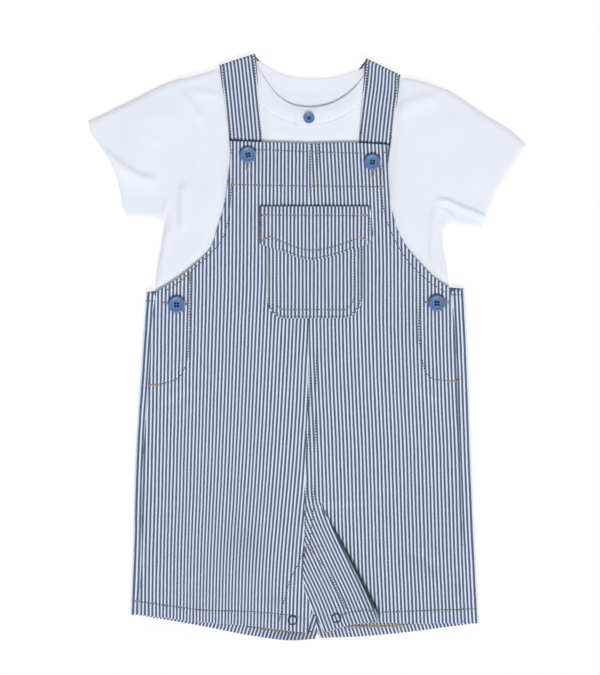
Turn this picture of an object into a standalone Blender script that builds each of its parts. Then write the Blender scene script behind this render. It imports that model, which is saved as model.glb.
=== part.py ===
"""Toddler's dungaree set, laid flat on its back: a striped bib-and-brace short over a T-shirt.

The set lies on the XY plane with its shoulders towards +Y and its front towards +Z. Lengths in
the tables and functions are millimetres, and each finished point is turned into metres once.
Every cloth piece is a thin closed wall round a middle surface, and the pieces lie on each other
as the real ones do: dungaree back, T-shirt back, T-shirt front, straps, dungaree front, pocket.
"Left" and "right" are the sides as seen from above, with the shoulders up.
"""

import math

import bmesh
import bpy
import numpy as np

MM = 0.001

# Walls, in millimetres
CLOTH = 1.2
JERSEY = 1.0
PATCH = 1.0
SEAM = 0.3

# Heights of the middle surfaces above the floor, in millimetres
BACK_MID = CLOTH / 2
TEE_LIFT = CLOTH + SEAM
TEE_AIR = 0.4
TEE_TOP = TEE_LIFT + 2 * JERSEY + TEE_AIR
STRAP_MID = TEE_TOP + SEAM + CLOTH / 2
FRONT_MID = 5.1
LAP_RISE = STRAP_MID + CLOTH + SEAM - FRONT_MID
TURN = (STRAP_MID - BACK_MID) / 2

# Soft steps where a layer comes down from what lies under it, as start and end in millimetres
SET_MIDDLE_X = 2.0
TEE_DOWN_BESIDE = (97.0, 142.0)
TEE_DOWN_ABOVE = (94.0, 139.0)
FRONT_DOWN_PAST_LAP = (3.0, 17.0)
FRONT_UP_ON_STRAPS = (126.0, 147.0)
FLAP_DOWN_PAST_POCKET = (1.6, 6.4)

# How far the back's wrapped edge reaches under the front: along the side seam and at the side opening
SEAM_LAP = 4.0
OPENING_LAP = 26.0
OPENING_LAP_RAMP = 16.0

# The whole set's box is centred on the origin by this shift, in millimetres
SHIFT_X = -0.1
SHIFT_Y = 0.8

# Heights along Y that many tables share, in millimetres
CROTCH_Y = -181.8
LEG_PART_Y = -235.8
WAIST_Y = 48.6
OPENING_END_Y = -38.0

# Outlines as (x, y) in millimetres, each listed from the hem or the centre outwards
CENTRE_SEAM = [(3.5, -235.8), (1.8, -228.6), (-1.2, -223.2), (-3.1, -210.6), (-2.7, -181.8),
               (-1.8, -122.0), (-0.4, -80.0), (1.0, -40.0), (1.8, 20.0), (1.8, 183.0)]
FRONT_INNER = {"left": [(0.0, -257.4), (2.3, -246.6), (3.4, -235.9)],
               "right": [(16.2, -257.4), (8.4, -243.5), (3.6, -235.9)]}
FRONT_HEM = {"left": [(0.0, -257.4), (-23.4, -254.7), (-52.0, -251.0), (-89.0, -248.4), (-113.4, -245.7),
                      (-151.0, -241.0)],
             "right": [(16.2, -257.4), (38.7, -250.4), (58.0, -248.4), (90.0, -249.2), (139.5, -248.5)]}
FRONT_SIDE = {"left": [(-151.0, -241.0), (-148.3, -194.0), (-148.0, -120.0), (-143.6, -55.0), (-141.3, -20.7),
                       (-138.6, 25.0), (-135.0, 48.6)],
              "right": [(139.5, -248.5), (139.5, -192.6), (138.6, -138.6), (136.2, -70.0), (134.6, -38.0),
                        (131.4, 28.0), (128.7, 51.5)]}
ARMHOLE = {"left": [(-68.4, 184.0), (-68.6, 167.0), (-71.0, 146.0), (-74.7, 124.0), (-79.6, 108.0), (-86.4, 88.0),
                    (-99.9, 73.8), (-116.0, 60.5), (-135.0, 48.6)],
           "right": [(72.0, 180.6), (72.4, 160.0), (74.0, 136.0), (76.6, 120.0), (81.9, 102.6), (90.0, 88.0),
                     (101.7, 73.8), (115.0, 60.5), (128.7, 51.5)]}
BIB_TOP = {"left": [(1.8, 181.4), (-30.0, 182.6), (-68.4, 184.0)],
           "right": [(1.8, 181.4), (45.0, 182.2), (72.0, 180.6)]}
BACK_INNER = {"left": [(4.2, -263.9), (9.2, -257.6), (8.0, -243.0), (3.0, -215.0), (-2.7, -181.8)],
              "right": [(16.2, -262.0), (9.8, -257.6), (8.0, -243.0), (3.0, -215.0), (-2.7, -181.8)]}
BACK_HEM = {"left": [(4.2, -263.9), (-12.0, -264.6), (-48.6, -260.5), (-92.7, -252.0), (-134.0, -244.8),
                     (-156.0, -241.2)],
            "right": [(16.2, -262.0), (47.7, -261.0), (92.7, -256.8), (130.0, -252.0), (152.2, -249.0)]}
SILHOUETTE = {"left": [(-158.6, -241.2), (-156.7, -195.0), (-154.2, -100.0), (-149.2, -20.0), (-144.5, 48.6)],
              "right": [(154.8, -249.0), (151.6, -184.0), (147.9, -100.0), (145.2, -20.0), (141.9, 51.5)]}
BACK_SCOOP = {"left": [(-36.0, 139.7), (-41.0, 118.0), (-50.0, 98.0), (-68.0, 78.0), (-95.0, 61.0),
                       (-120.0, 52.0), (-141.7, 48.6)],
              "right": [(39.0, 139.7), (44.0, 118.0), (53.0, 98.0), (70.0, 78.0), (95.0, 62.0), (118.0, 54.0),
                        (139.1, 51.5)]}

# T-shirt outlines, as (x, y) in millimetres
TEE_SIDE = {"left": [(-133.0, -98.0), (-134.5, 0.0), (-135.9, 54.0), (-134.1, 72.0), (-131.4, 86.4),
                     (-127.6, 111.0)],
            "right": [(126.0, -98.0), (126.6, 0.0), (127.2, 54.0), (125.1, 72.0), (122.4, 88.0), (121.2, 103.0)]}
TEE_ARMHOLE = {"left": [(-127.6, 111.0), (-112.0, 137.0), (-103.0, 165.0), (-101.0, 195.0), (-104.0, 219.0),
                        (-113.0, 240.0)],
               "right": [(121.2, 103.0), (109.0, 136.0), (105.0, 165.0), (106.5, 190.0), (114.0, 212.0),
                         (125.6, 229.8)]}
TEE_SHOULDER = {"left": [(-113.0, 240.0), (-96.0, 244.0), (-82.0, 248.4), (-61.0, 254.6)],
                "right": [(125.6, 229.8), (105.3, 237.2), (92.0, 240.2), (82.0, 241.4), (68.5, 247.2)]}
NECK_SEAM_FRONT = [(-61.0, 254.6), (-53.0, 230.0), (-41.0, 215.0), (-28.8, 207.4), (-14.0, 201.0), (1.8, 198.8),
                   (25.2, 203.2), (42.3, 213.5), (56.0, 229.0), (68.5, 247.2)]
NECK_SEAM_BACK = [(-61.0, 254.6), (-45.0, 240.0), (-29.7, 232.0), (-7.2, 225.9), (6.8, 225.0), (32.4, 228.4),
                  (51.0, 236.5), (68.5, 247.2)]
NECK_EDGE_FRONT = [(-51.0, 258.0), (-45.9, 252.6), (-41.0, 245.0), (-34.6, 235.2), (-27.9, 226.8), (-14.0, 217.0),
                   (3.2, 214.2), (25.2, 219.2), (42.3, 231.3), (50.0, 240.8), (58.0, 252.4)]
NECK_EDGE_BACK = [(-51.0, 258.0), (-42.5, 255.4), (-34.6, 250.4), (-24.3, 245.0), (-10.8, 241.4), (3.2, 240.2),
                  (25.2, 241.8), (44.7, 247.6), (58.0, 252.4)]
SLEEVE_TOP = {"left": [(-113.0, 240.0), (-131.8, 233.0), (-153.4, 222.2), (-175.0, 211.6), (-196.2, 201.4)],
              "right": [(125.6, 229.8), (133.5, 225.0), (147.9, 215.2), (162.3, 205.4), (176.7, 196.8),
                        (189.6, 187.0), (196.2, 180.2)]}
SLEEVE_UNDER = {"left": [(-127.6, 111.0), (-133.0, 115.0), (-145.0, 116.6), (-161.5, 117.2)],
                "right": [(121.2, 103.0), (129.0, 110.6), (140.0, 109.2), (156.4, 106.4)]}
SLEEVE_CUFF = {"left": [(-161.5, 117.2), (-164.9, 123.4), (-167.4, 136.8), (-170.8, 151.2), (-176.4, 165.6),
                        (-186.3, 180.0), (-194.9, 193.4), (-196.2, 201.4)],
               "right": [(156.4, 106.4), (159.6, 114.0), (163.6, 124.0), (168.0, 133.6), (173.7, 144.0),
                         (187.2, 165.6), (196.2, 180.2)]}

# Soft rises of the T-shirt's upper wall: x, y, half width, half height and rise, in millimetres
TEE_PUFFS = [
    {"x": -158.0, "y": 172.0, "across": 22.0, "along": 30.0, "rise": 1.5},
    {"x": -136.0, "y": 205.0, "across": 24.0, "along": 14.0, "rise": 1.0},
    {"x": 152.0, "y": 158.0, "across": 24.0, "along": 30.0, "rise": 1.5},
    {"x": 130.0, "y": 196.0, "across": 20.0, "along": 16.0, "rise": 0.9},
    {"x": 3.0, "y": 212.0, "across": 26.0, "along": 9.0, "rise": 0.8},
]
# Creases of the T-shirt's upper wall: ends, half width and height, in millimetres
TEE_CREASES = [
    {"from": (-182.0, 176.0), "to": (-142.0, 151.0), "width": 6.0, "rise": -1.2},
    {"from": (-118.0, 146.0), "to": (-123.0, 118.0), "width": 5.0, "rise": 0.9},
    {"from": (120.0, 131.0), "to": (156.0, 119.0), "width": 5.0, "rise": -1.3},
    {"from": (113.0, 112.0), "to": (111.0, 86.0), "width": 6.0, "rise": 0.8},
]

# The right leg's pleat: its fold edge runs from the first point to the last, its cloth turns over
# between the two heights, and its tucked layer grows from the first depth to the second over a length
PLEAT_EDGE = [(11.7, -141.0), (36.0, -188.0), (62.0, -238.0), (63.4, -247.0)]
PLEAT_TURN_Y = (-141.0, -156.0)
PLEAT_DEPTH = (0.6, 12.0)
PLEAT_DEPTH_LENGTH = 88.0
PLEAT_RADIUS = 0.75
# The leg rises again beside the fold over this stretch past its edge
PLEAT_DIP = (1.0, 45.0)
# Above the pleat its columns spread out evenly up to this height
PLEAT_SPREAD_Y = 60.0
# A row's height is read this far from the centre seam, and below this bend a row counts as plain
PLEAT_READ_X = 20.0
PLEAT_PLAIN_BEND = 0.01

# Straps: inner and outer edges on the front and on the back, shoulder fold first
STRAP_FRONT = {"left": {"inner": [(-46.4, 260.4), (-45.2, 246.0), (-43.2, 215.0), (-41.2, 184.5), (-41.0, 157.0)],
                        "outer": [(-78.0, 250.2), (-76.6, 240.0), (-72.8, 212.0), (-69.4, 184.5), (-67.6, 157.0)]},
               "right": {"inner": [(52.6, 256.2), (51.8, 242.0), (49.0, 212.0), (47.2, 182.7), (46.4, 157.0)],
                         "outer": [(82.8, 241.4), (82.2, 232.0), (79.0, 210.0), (75.2, 184.0), (71.6, 157.0)]}}
STRAP_BACK = {"left": {"inner": [(-46.4, 260.4), (-34.0, 245.0), (-15.0, 205.0), (-4.5, 165.0), (-1.5, 140.0)],
                       "outer": [(-78.0, 250.2), (-65.0, 231.0), (-46.0, 190.0), (-37.0, 160.0), (-33.5, 140.0)]},
              "right": {"inner": [(52.6, 256.2), (40.0, 240.0), (19.5, 203.0), (8.5, 165.0), (4.8, 140.0)],
                        "outer": [(82.8, 241.4), (70.0, 222.0), (51.0, 187.0), (40.5, 158.0), (36.5, 140.0)]}}

# Patch pocket and its pointed flap
POCKET_LEFT_X = -35.1
POCKET_RIGHT_X = 49.5
POCKET_TOP_Y = 118.0
POCKET_FLOOR_Y = 25.2
# Width and height of each rounded lower corner
POCKET_CORNER = {"left": (16.0, 15.0), "right": (18.0, 20.0)}
FLAP_TOP_Y = 125.1
FLAP_POINT = [(-42.3, 92.0), (-22.5, 85.4), (-4.0, 78.6), (5.0, 77.2), (12.0, 78.4), (27.0, 82.0), (42.0, 87.4),
              (54.9, 91.8)]
FLAP_RIGHT_SIDE = [(54.9, 91.8), (58.9, 99.0), (58.4, 108.0), (57.6, 117.0), (56.0, 125.1)]
# Inner columns of the flap's grid, its rows as shares from the point to the pocket's mouth, and
# the heights above the mouth where it starts and ends its step down
FLAP_COLUMNS = [-39.5, -36.4, -30.0, -20.75, -11.5, -2.25, 7.0, 16.25, 25.5, 34.75, 44.0, 50.8, 53.6]
FLAP_ROWS = [0.0, 0.28, 0.64, 1.0]
FLAP_STEP = (1.4, 4.2)
NECK_TAB = {"left": -9.9, "right": 9.0, "low": 197.0, "high": 212.6}

# Buttons: centre x, y, outer radius, and the angle to which the four holes are turned
BUTTON_RADIUS = 7.6
NECK_BUTTON_RADIUS = 5.2
BUTTONS = [
    {"node": "button_bib_left", "x": -53.0, "y": 171.6, "radius": BUTTON_RADIUS, "turn": 0.95},
    {"node": "button_bib_right", "x": 58.7, "y": 165.2, "radius": BUTTON_RADIUS, "turn": 0.6},
    {"node": "button_side_left", "x": -117.0, "y": 37.2, "radius": BUTTON_RADIUS, "turn": 0.75},
    {"node": "button_side_right", "x": 116.7, "y": 38.4, "radius": BUTTON_RADIUS, "turn": 0.78},
    {"node": "button_neck", "x": 1.8, "y": 204.8, "radius": NECK_BUTTON_RADIUS, "turn": 1.2},
]
# Section of the larger button as inset from its rim and height; a smaller one is scaled from it
BUTTON_PROFILE = [(1.2, 0.0), (0.0, 1.0), (0.3, 2.4), (1.2, 2.9), (2.4, 2.2)]
BUTTON_FACE_HEIGHT = 2.1
BUTTON_HOLE_RADIUS = 0.85
BUTTON_HOLE_REACH = 1.75
# The hole cutters pass below and above the button by these heights
BUTTON_CUTTER = (-1.0, 4.0)

# Rings of the press studs
SNAPS = [
    {"node": "snap_left", "x": -13.0, "y": -246.4},
    {"node": "snap_right", "x": 26.4, "y": -244.4},
]
SNAP_RADIUS = 4.4
SNAP_BAND = 1.1
SNAP_HALF_HEIGHT = 0.42

# Cells along each stretch of a piece; the neck's are shared by the T-shirt panels and the neckband
CURVE_SAMPLES = 600
LOOKUP_CELLS = 400
BIB_CELLS = {"left": 4, "right": 8}
ARMHOLE_CELLS = {"left": 9, "right": 13}
PLEAT_FLAP_CELLS = 5
PLEAT_ARC_CELLS = 3
PLEAT_TUCK_CELLS = 2
PLEAT_LEG_CELLS = 8
BACK_BIB_CELLS = 2
BACK_SCOOP_CELLS = 6
BACK_TURN_CELLS = 5
BACK_LAP_CELLS = 3
STRAP_ACROSS_CELLS = 3
STRAP_FRONT_CELLS = 9
STRAP_TURN_CELLS = 5
STRAP_BACK_CELLS = 10
NECK_CELLS = 14
NECKBAND_ACROSS_CELLS = 2
TEE_SIDE_CELLS = 9
TEE_ARMHOLE_CELLS = 11
TEE_SHOULDER_CELLS = 4
TEE_TURN_CELLS = 3
SLEEVE_ACROSS_CELLS = 13
SLEEVE_ALONG_CELLS = 9
NECK_TAB_CELLS = 3
POCKET_CORNER_CELLS = 4
POCKET_SIDE_CELLS = 6
BUTTON_SEGMENTS = 20
BUTTON_HOLE_SEGMENTS = 6
SNAP_SEGMENTS = 18
SNAP_SECTION_POINTS = 5

# Rows of the front panels, as heights of the centre boundary in millimetres
FRONT_ROWS = [-257.4, -246.6, -235.8, -228.6, -223.2, -210.6, -196.0, -181.8, -168.0, -156.0, -152.0, -148.0,
              -144.0, -140.0, -136.0, -122.0, -100.0, -80.0, -60.0, -40.0, -18.0, 4.0, 28.0, 52.0, 76.0, 100.0,
              122.0, 140.0, 154.0, 168.0, 181.4]
BACK_ROWS = [-257.6, -243.0, -229.0, -215.0, -198.0, -181.8, -160.0, -138.0, -112.0, -86.0, -60.0, -34.0, -8.0,
             18.0, 44.0, 68.0, 92.0, 116.0, 139.7]


def smoothstep(value, low, high):
    """0 below low and 1 above high, with a soft step between; low may be above high."""
    t = np.clip((np.asarray(value, float) - low) / (high - low), 0.0, 1.0)
    return t * t * (3.0 - 2.0 * t)


def smooth_curve(points, fractions):
    """Points of a smooth curve through the given ones, at fractions of its length."""
    points = np.array(points, float)
    knots = np.concatenate([[0.0], np.cumsum(np.linalg.norm(np.diff(points, axis=0), axis=1))])
    slopes = np.gradient(points, knots, axis=0)
    fine = np.linspace(0.0, knots[-1], CURVE_SAMPLES)
    piece = np.clip(np.searchsorted(knots, fine, side="right") - 1, 0, len(knots) - 2)
    width = (knots[piece + 1] - knots[piece])[:, None]
    t = (fine - knots[piece])[:, None] / width
    dense = ((2 * t**3 - 3 * t**2 + 1) * points[piece] + (t**3 - 2 * t**2 + t) * width * slopes[piece]
             + (3 * t**2 - 2 * t**3) * points[piece + 1] + (t**3 - t**2) * width * slopes[piece + 1])
    length = np.concatenate([[0.0], np.cumsum(np.linalg.norm(np.diff(dense, axis=0), axis=1))])
    at = np.asarray(fractions, float) * length[-1]
    return np.column_stack([np.interp(at, length, dense[:, k]) for k in range(points.shape[1])])


def evenly(points, cells):
    """A smooth curve cut into equal cells."""
    return smooth_curve(points, np.linspace(0.0, 1.0, cells + 1))


def chain(*parts):
    """Curves joined end to end, without repeating the shared points."""
    return np.concatenate([parts[0]] + [part[1:] for part in parts[1:]])


def x_at(points, heights):
    """x of a smooth line through points that rise in y, at the given heights."""
    dense = evenly(points, LOOKUP_CELLS)
    return np.interp(heights, dense[:, 1], dense[:, 0])


def fractions_along(line):
    """Each point's share of a plan line's length."""
    steps = np.concatenate([[0.0], np.cumsum(np.linalg.norm(np.diff(line[:, :2], axis=0), axis=1))])
    return steps / steps[-1]


def coons(bottom, top, left, right):
    """Grid [row, column] of plan points filled between four boundary lines that share corners."""
    u = ((fractions_along(bottom) + fractions_along(top)) / 2)[None, :, None]
    v = ((fractions_along(left) + fractions_along(right)) / 2)[:, None, None]
    ruled = (1 - v) * bottom[None] + v * top[None] + (1 - u) * left[:, None] + u * right[:, None]
    corners = ((1 - u) * (1 - v) * bottom[0] + u * (1 - v) * bottom[-1]
               + (1 - u) * v * top[0] + u * v * top[-1])
    return ruled - corners


def raised(plan, height):
    """Adds the height function's z to a grid of plan points."""
    return np.dstack([plan, height(plan[..., 0], plan[..., 1])])


# Heights of the layers

def tee_lift(x, y):
    """How far the T-shirt is lifted off the floor by the straps and the dungaree back under it."""
    beside = 1.0 - smoothstep(np.abs(x - SET_MIDDLE_X), *TEE_DOWN_BESIDE)
    below = 1.0 - smoothstep(y, *TEE_DOWN_ABOVE)
    return TEE_LIFT * np.maximum(beside, below)


def tee_back_mid(x, y):
    """Middle surface of the T-shirt's lower wall."""
    return tee_lift(x, y) + JERSEY / 2


def tee_front_mid(x, y):
    """Middle surface of the T-shirt's upper wall, with its soft rises and creases."""
    relief = np.zeros_like(np.asarray(x, float))
    for puff in TEE_PUFFS:
        reach = ((x - puff["x"]) / puff["across"]) ** 2 + ((y - puff["y"]) / puff["along"]) ** 2
        relief = relief + puff["rise"] * np.exp(-reach)
    for crease in TEE_CREASES:
        (ax, ay), (bx, by) = crease["from"], crease["to"]
        run = np.array([bx - ax, by - ay])
        along = ((x - ax) * run[0] + (y - ay) * run[1]) / (run @ run)
        near = np.clip(along, 0.0, 1.0)
        away = np.hypot(x - ax - near * run[0], y - ay - near * run[1])
        relief = relief + crease["rise"] * np.exp(-((away / crease["width"]) ** 2))
    return tee_back_mid(x, y) + JERSEY + TEE_AIR + np.maximum(relief, 0.0)


def lap_width(y):
    """How far the back's wrapped edge reaches under the front: a lap seam, and wider at the side opening."""
    return SEAM_LAP + (OPENING_LAP - SEAM_LAP) * smoothstep(y, OPENING_END_Y - OPENING_LAP_RAMP, OPENING_END_Y)


def front_mid(x, y):
    """Middle surface of the dungaree front, raised over the side laps and over the strap ends."""
    low = np.minimum(y, WAIST_Y)
    left = x - x_at(FRONT_SIDE["left"], low)
    right = x_at(FRONT_SIDE["right"], low) - x
    over_lap = 1.0 - smoothstep(np.minimum(left, right) - lap_width(low), *FRONT_DOWN_PAST_LAP)
    over_strap = smoothstep(y, *FRONT_UP_ON_STRAPS)
    return FRONT_MID + LAP_RISE * np.maximum(over_lap, over_strap)


def pocket_mid(x, y):
    """Middle surface of the patch pocket, on the dungaree front."""
    return front_mid(x, y) + CLOTH / 2 + SEAM + PATCH / 2


def flap_mid(x, y):
    """Middle surface of the flap: on the pocket, and down on the front beyond the pocket's edges."""
    past_side = np.maximum(POCKET_LEFT_X - x, x - POCKET_RIGHT_X)
    past_top = y - POCKET_TOP_Y
    off_pocket = smoothstep(np.maximum(past_side, past_top), *FLAP_DOWN_PAST_POCKET)
    return pocket_mid(x, y) + (PATCH + SEAM) * (1.0 - off_pocket)


# Solids

def make_material(name, colour, roughness, metallic=0.0):
    """A plain Principled material."""
    material = bpy.data.materials.new(name)
    material.use_nodes = True
    shader = material.node_tree.nodes["Principled BSDF"]
    shader.inputs["Base Color"].default_value = (*colour, 1.0)
    shader.inputs["Roughness"].default_value = roughness
    shader.inputs["Metallic"].default_value = metallic
    return material


def new_object(name, vertices, faces, material):
    """A mesh object from points in millimetres, with its faces turned outwards."""
    mesh = bpy.data.meshes.new(name)
    shifted = np.asarray(vertices, float) + np.array([SHIFT_X, SHIFT_Y, 0.0])
    mesh.from_pydata((shifted * MM).tolist(), [], faces)
    shape = bmesh.new()
    shape.from_mesh(mesh)
    bmesh.ops.recalc_face_normals(shape, faces=shape.faces)
    shape.to_mesh(mesh)
    shape.free()
    mesh.shade_smooth()
    mesh.set_sharp_from_angle(angle=math.radians(40.0))
    mesh.materials.append(material)
    obj = bpy.data.objects.new(name, mesh)
    bpy.context.scene.collection.objects.link(obj)
    return obj


def grid_normals(grid, ring):
    """Unit normals of a grid of points; a ring closes on itself along the columns."""
    if ring:
        around = np.roll(grid, -1, axis=1) - np.roll(grid, 1, axis=1)
    else:
        around = np.gradient(grid, axis=1)
    normals = np.cross(around, np.gradient(grid, axis=0))
    return normals / np.linalg.norm(normals, axis=2, keepdims=True)


def wall(name, grid, thickness, material, ring=False):
    """A closed solid of even thickness round the middle surface grid[row, column]."""
    rows, columns = grid.shape[:2]
    half = grid_normals(grid, ring) * thickness / 2
    points = np.concatenate([(grid + half).reshape(-1, 3), (grid - half).reshape(-1, 3)])
    under = rows * columns
    cells = columns if ring else columns - 1

    def at(row, column, side):
        return side * under + row * columns + column % columns

    faces = []
    for row in range(rows - 1):
        for column in range(cells):
            quad = [(row, column), (row, column + 1), (row + 1, column + 1), (row + 1, column)]
            faces.append([at(r, c, 0) for r, c in quad])
            faces.append([at(r, c, 1) for r, c in reversed(quad)])
    rims = [((row, column), (row, column + 1)) for column in range(cells) for row in (0, rows - 1)]
    if not ring:
        rims += [((row, column), (row + 1, column)) for row in range(rows - 1) for column in (0, columns - 1)]
    for here, there in rims:
        faces.append([at(*here, 0), at(*here, 1), at(*there, 1), at(*there, 0)])
    return new_object(name, points, faces, material)


# Dungaree front

def front_boundary(side, heights):
    """The front panel's centre boundary: inner leg edge below the part of the legs, centre seam above it."""
    sign = -1.0 if side == "left" else 1.0
    seam = x_at(CENTRE_SEAM, heights) + sign * SEAM / 2
    leg = x_at(FRONT_INNER[side], heights)
    return np.column_stack([np.where(heights < LEG_PART_Y, leg, seam), heights])


def front_plan(side):
    """Plan grid of a front panel, from the centre boundary to the side."""
    rows = np.array(FRONT_ROWS)
    inner = front_boundary(side, rows)
    outer = evenly(FRONT_SIDE[side], LOOKUP_CELLS)
    share = (rows - rows[0]) / (rows[-1] - rows[0])
    side_heights = outer[0, 1] + share * (outer[-1, 1] - outer[0, 1])
    outer = np.column_stack([np.interp(side_heights, outer[:, 1], outer[:, k]) for k in (0, 1)])
    bib = evenly(BIB_TOP[side], BIB_CELLS[side])
    bib[0] = inner[-1]
    top = chain(bib, evenly(ARMHOLE[side], ARMHOLE_CELLS[side]))
    hem = evenly(FRONT_HEM[side], len(top) - 1)
    hem[0], hem[-1], top[-1] = inner[0], outer[0], outer[-1]
    return coons(hem, top, inner, outer)


def row_height(row):
    """The height along Y at which the pleat is read for a row."""
    return float(np.interp(row[0, 0] + PLEAT_READ_X, row[:, 0], row[:, 1]))


def pleat_radius(bend, depth):
    """Radius of the pleat's turns, kept so that the fold never drops more than its three layers need."""
    if bend <= PLEAT_PLAIN_BEND:
        return PLEAT_RADIUS
    limit = (4 * PLEAT_RADIUS - depth * math.sin(bend)) / (2 * (1 - math.cos(bend)))
    return min(PLEAT_RADIUS * math.pi / bend, max(limit, PLEAT_RADIUS))


def pleat_section(row, bend, depth):
    """One row of the pleated front as (x, y, z): flap, turn, tucked layer, turn, then the lower layer.

    The cloth's heading turns down by the angle bend over one arc, runs straight for depth and turns back.
    At a bend of half a turn the three layers lie on each other, and at zero the row is plain.
    """
    edge_line = np.array(PLEAT_EDGE)[::-1]
    edge_x = np.interp(row_height(row), edge_line[:, 1], edge_line[:, 0])
    radius = pleat_radius(bend, depth)
    arc = radius * bend if bend > PLEAT_PLAIN_BEND else radius * math.pi
    down = -bend * (np.arange(PLEAT_ARC_CELLS) + 0.5) / PLEAT_ARC_CELLS
    heading = np.concatenate([down, [-bend] * PLEAT_TUCK_CELLS, down[::-1]])
    step = np.repeat([arc / PLEAT_ARC_CELLS, depth / PLEAT_TUCK_CELLS, arc / PLEAT_ARC_CELLS],
                     [PLEAT_ARC_CELLS, PLEAT_TUCK_CELLS, PLEAT_ARC_CELLS])
    turn_x = edge_x - radius * math.sin(min(bend, math.pi / 2)) - CLOTH / 2
    fold_x = turn_x + np.concatenate([[0.0], np.cumsum(step * np.cos(heading))])
    fold_z = np.concatenate([[0.0], np.cumsum(step * np.sin(heading))])
    flap_x = np.linspace(row[0, 0], turn_x, PLEAT_FLAP_CELLS + 1)[:-1]
    leg_x = np.linspace(fold_x[-1], row[-1, 0], PLEAT_LEG_CELLS + 1)[1:]
    leg_z = fold_z[-1] * (1.0 - smoothstep(leg_x - edge_x, *PLEAT_DIP))
    x = np.concatenate([flap_x, fold_x, leg_x])
    y = np.interp(x, row[:, 0], row[:, 1])
    return np.column_stack([x, y, front_mid(x, y) + np.concatenate([np.zeros(len(flap_x)), fold_z, leg_z])])


def make_front_left(cloth):
    """Left front panel, from the inner leg to the bib."""
    return wall("dungaree_front_left", raised(front_plan("left"), front_mid), CLOTH, cloth)


def make_front_right(cloth):
    """Right front panel, with the pleat that opens towards the hem."""
    shallow, deep = PLEAT_DEPTH
    grid = []
    for row in front_plan("right"):
        height = row_height(row)
        bend = math.pi * float(smoothstep(height, *PLEAT_TURN_Y))
        opened = float(np.clip((PLEAT_TURN_Y[1] - height) / PLEAT_DEPTH_LENGTH, 0.0, 1.0))
        section = pleat_section(row, bend, shallow + (deep - shallow) * opened)
        if height > PLEAT_TURN_Y[0]:
            spread = float(smoothstep(height, PLEAT_TURN_Y[0], PLEAT_SPREAD_Y))
            at = (1 - spread) * fractions_along(section) + spread * fractions_along(row)
            plain = np.column_stack([np.interp(at, fractions_along(row), row[:, k]) for k in (0, 1)])
            section = raised(plain[None], front_mid)[0]
        grid.append(section)
    return wall("dungaree_front_right", np.array(grid), CLOTH, cloth)


# Dungaree back

def back_inner(side, heights):
    """The back panel's centre boundary: inner leg edge below the crotch, centre seam above it."""
    sign = -1.0 if side == "left" else 1.0
    leg = x_at(BACK_INNER[side], heights)
    seam = x_at(CENTRE_SEAM, heights)
    return np.column_stack([np.where(heights < CROTCH_Y, leg, seam) + sign * SEAM / 2, heights])


def make_back(side, cloth):
    """A back panel: flat on the floor, round the side and lapped under the front's side edge."""
    outward = -1.0 if side == "left" else 1.0
    rows = np.array([BACK_HEM[side][0][1]] + BACK_ROWS)
    inner = back_inner(side, rows)
    inner[0] = BACK_HEM[side][0]
    outline = evenly(SILHOUETTE[side], LOOKUP_CELLS)
    share = (rows - rows[0]) / (rows[-1] - rows[0])
    heights = outline[0, 1] + share * (outline[-1, 1] - outline[0, 1])
    outer = np.column_stack([np.interp(heights, outline[:, 1], outline[:, 0]), heights])
    outer[:, 0] -= outward * (TURN + CLOTH / 2)
    bib = np.linspace(inner[-1], BACK_SCOOP[side][0], BACK_BIB_CELLS + 1)
    top = chain(bib, evenly(BACK_SCOOP[side], BACK_SCOOP_CELLS))
    hem = evenly(BACK_HEM[side], len(top) - 1)
    hem[-1], top[-1] = outer[0], outer[-1]
    plan = coons(hem, top, inner, outer)
    flat = np.dstack([plan, np.full(plan.shape[:2], BACK_MID)])
    wrap = []
    for x, y in outer:
        section = []
        for k in range(1, BACK_TURN_CELLS + 1):
            angle = math.pi * k / BACK_TURN_CELLS
            section.append((x + outward * TURN * math.sin(angle), y, BACK_MID + TURN * (1 - math.cos(angle))))
        lap_end = float(x_at(FRONT_SIDE[side], y)) - outward * float(lap_width(y))
        for k in range(1, BACK_LAP_CELLS + 1):
            section.append((x + (lap_end - x) * k / BACK_LAP_CELLS, y, STRAP_MID))
        wrap.append(section)
    return wall(f"dungaree_back_{side}", np.concatenate([flat, np.array(wrap)], axis=1), CLOTH, cloth)


# Straps

def make_strap(side, cloth):
    """A strap: from under the bib over the T-shirt's shoulder and down behind it to the back bib."""
    across = np.linspace(0.0, 1.0, STRAP_ACROSS_CELLS + 1)[None, :, None]
    front, back = STRAP_FRONT[side], STRAP_BACK[side]

    def ruled(edges, cells):
        inner, outer = evenly(edges["inner"], cells), evenly(edges["outer"], cells)
        return (1 - across) * inner[:, None] + across * outer[:, None]

    front_run = ruled(front, STRAP_FRONT_CELLS)[::-1]
    back_run = ruled(back, STRAP_BACK_CELLS)
    fold = np.array(front["inner"][0]) - np.array(front["outer"][0])
    away = np.array([-fold[1], fold[0]]) if side == "left" else np.array([fold[1], -fold[0]])
    away = away / np.linalg.norm(away)
    turn = []
    for k in range(1, STRAP_TURN_CELLS):
        angle = math.pi * k / STRAP_TURN_CELLS
        points = back_run[0] + away * TURN * math.sin(angle)
        turn.append(np.column_stack([points, np.full(len(points), STRAP_MID - TURN * (1 - math.cos(angle)))]))
    top = np.dstack([front_run, np.full(front_run.shape[:2], STRAP_MID)])
    under = np.dstack([back_run, np.full(back_run.shape[:2], BACK_MID)])
    return wall(f"strap_{side}", np.concatenate([top, np.array(turn), under]), CLOTH, cloth)


# T-shirt

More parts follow.
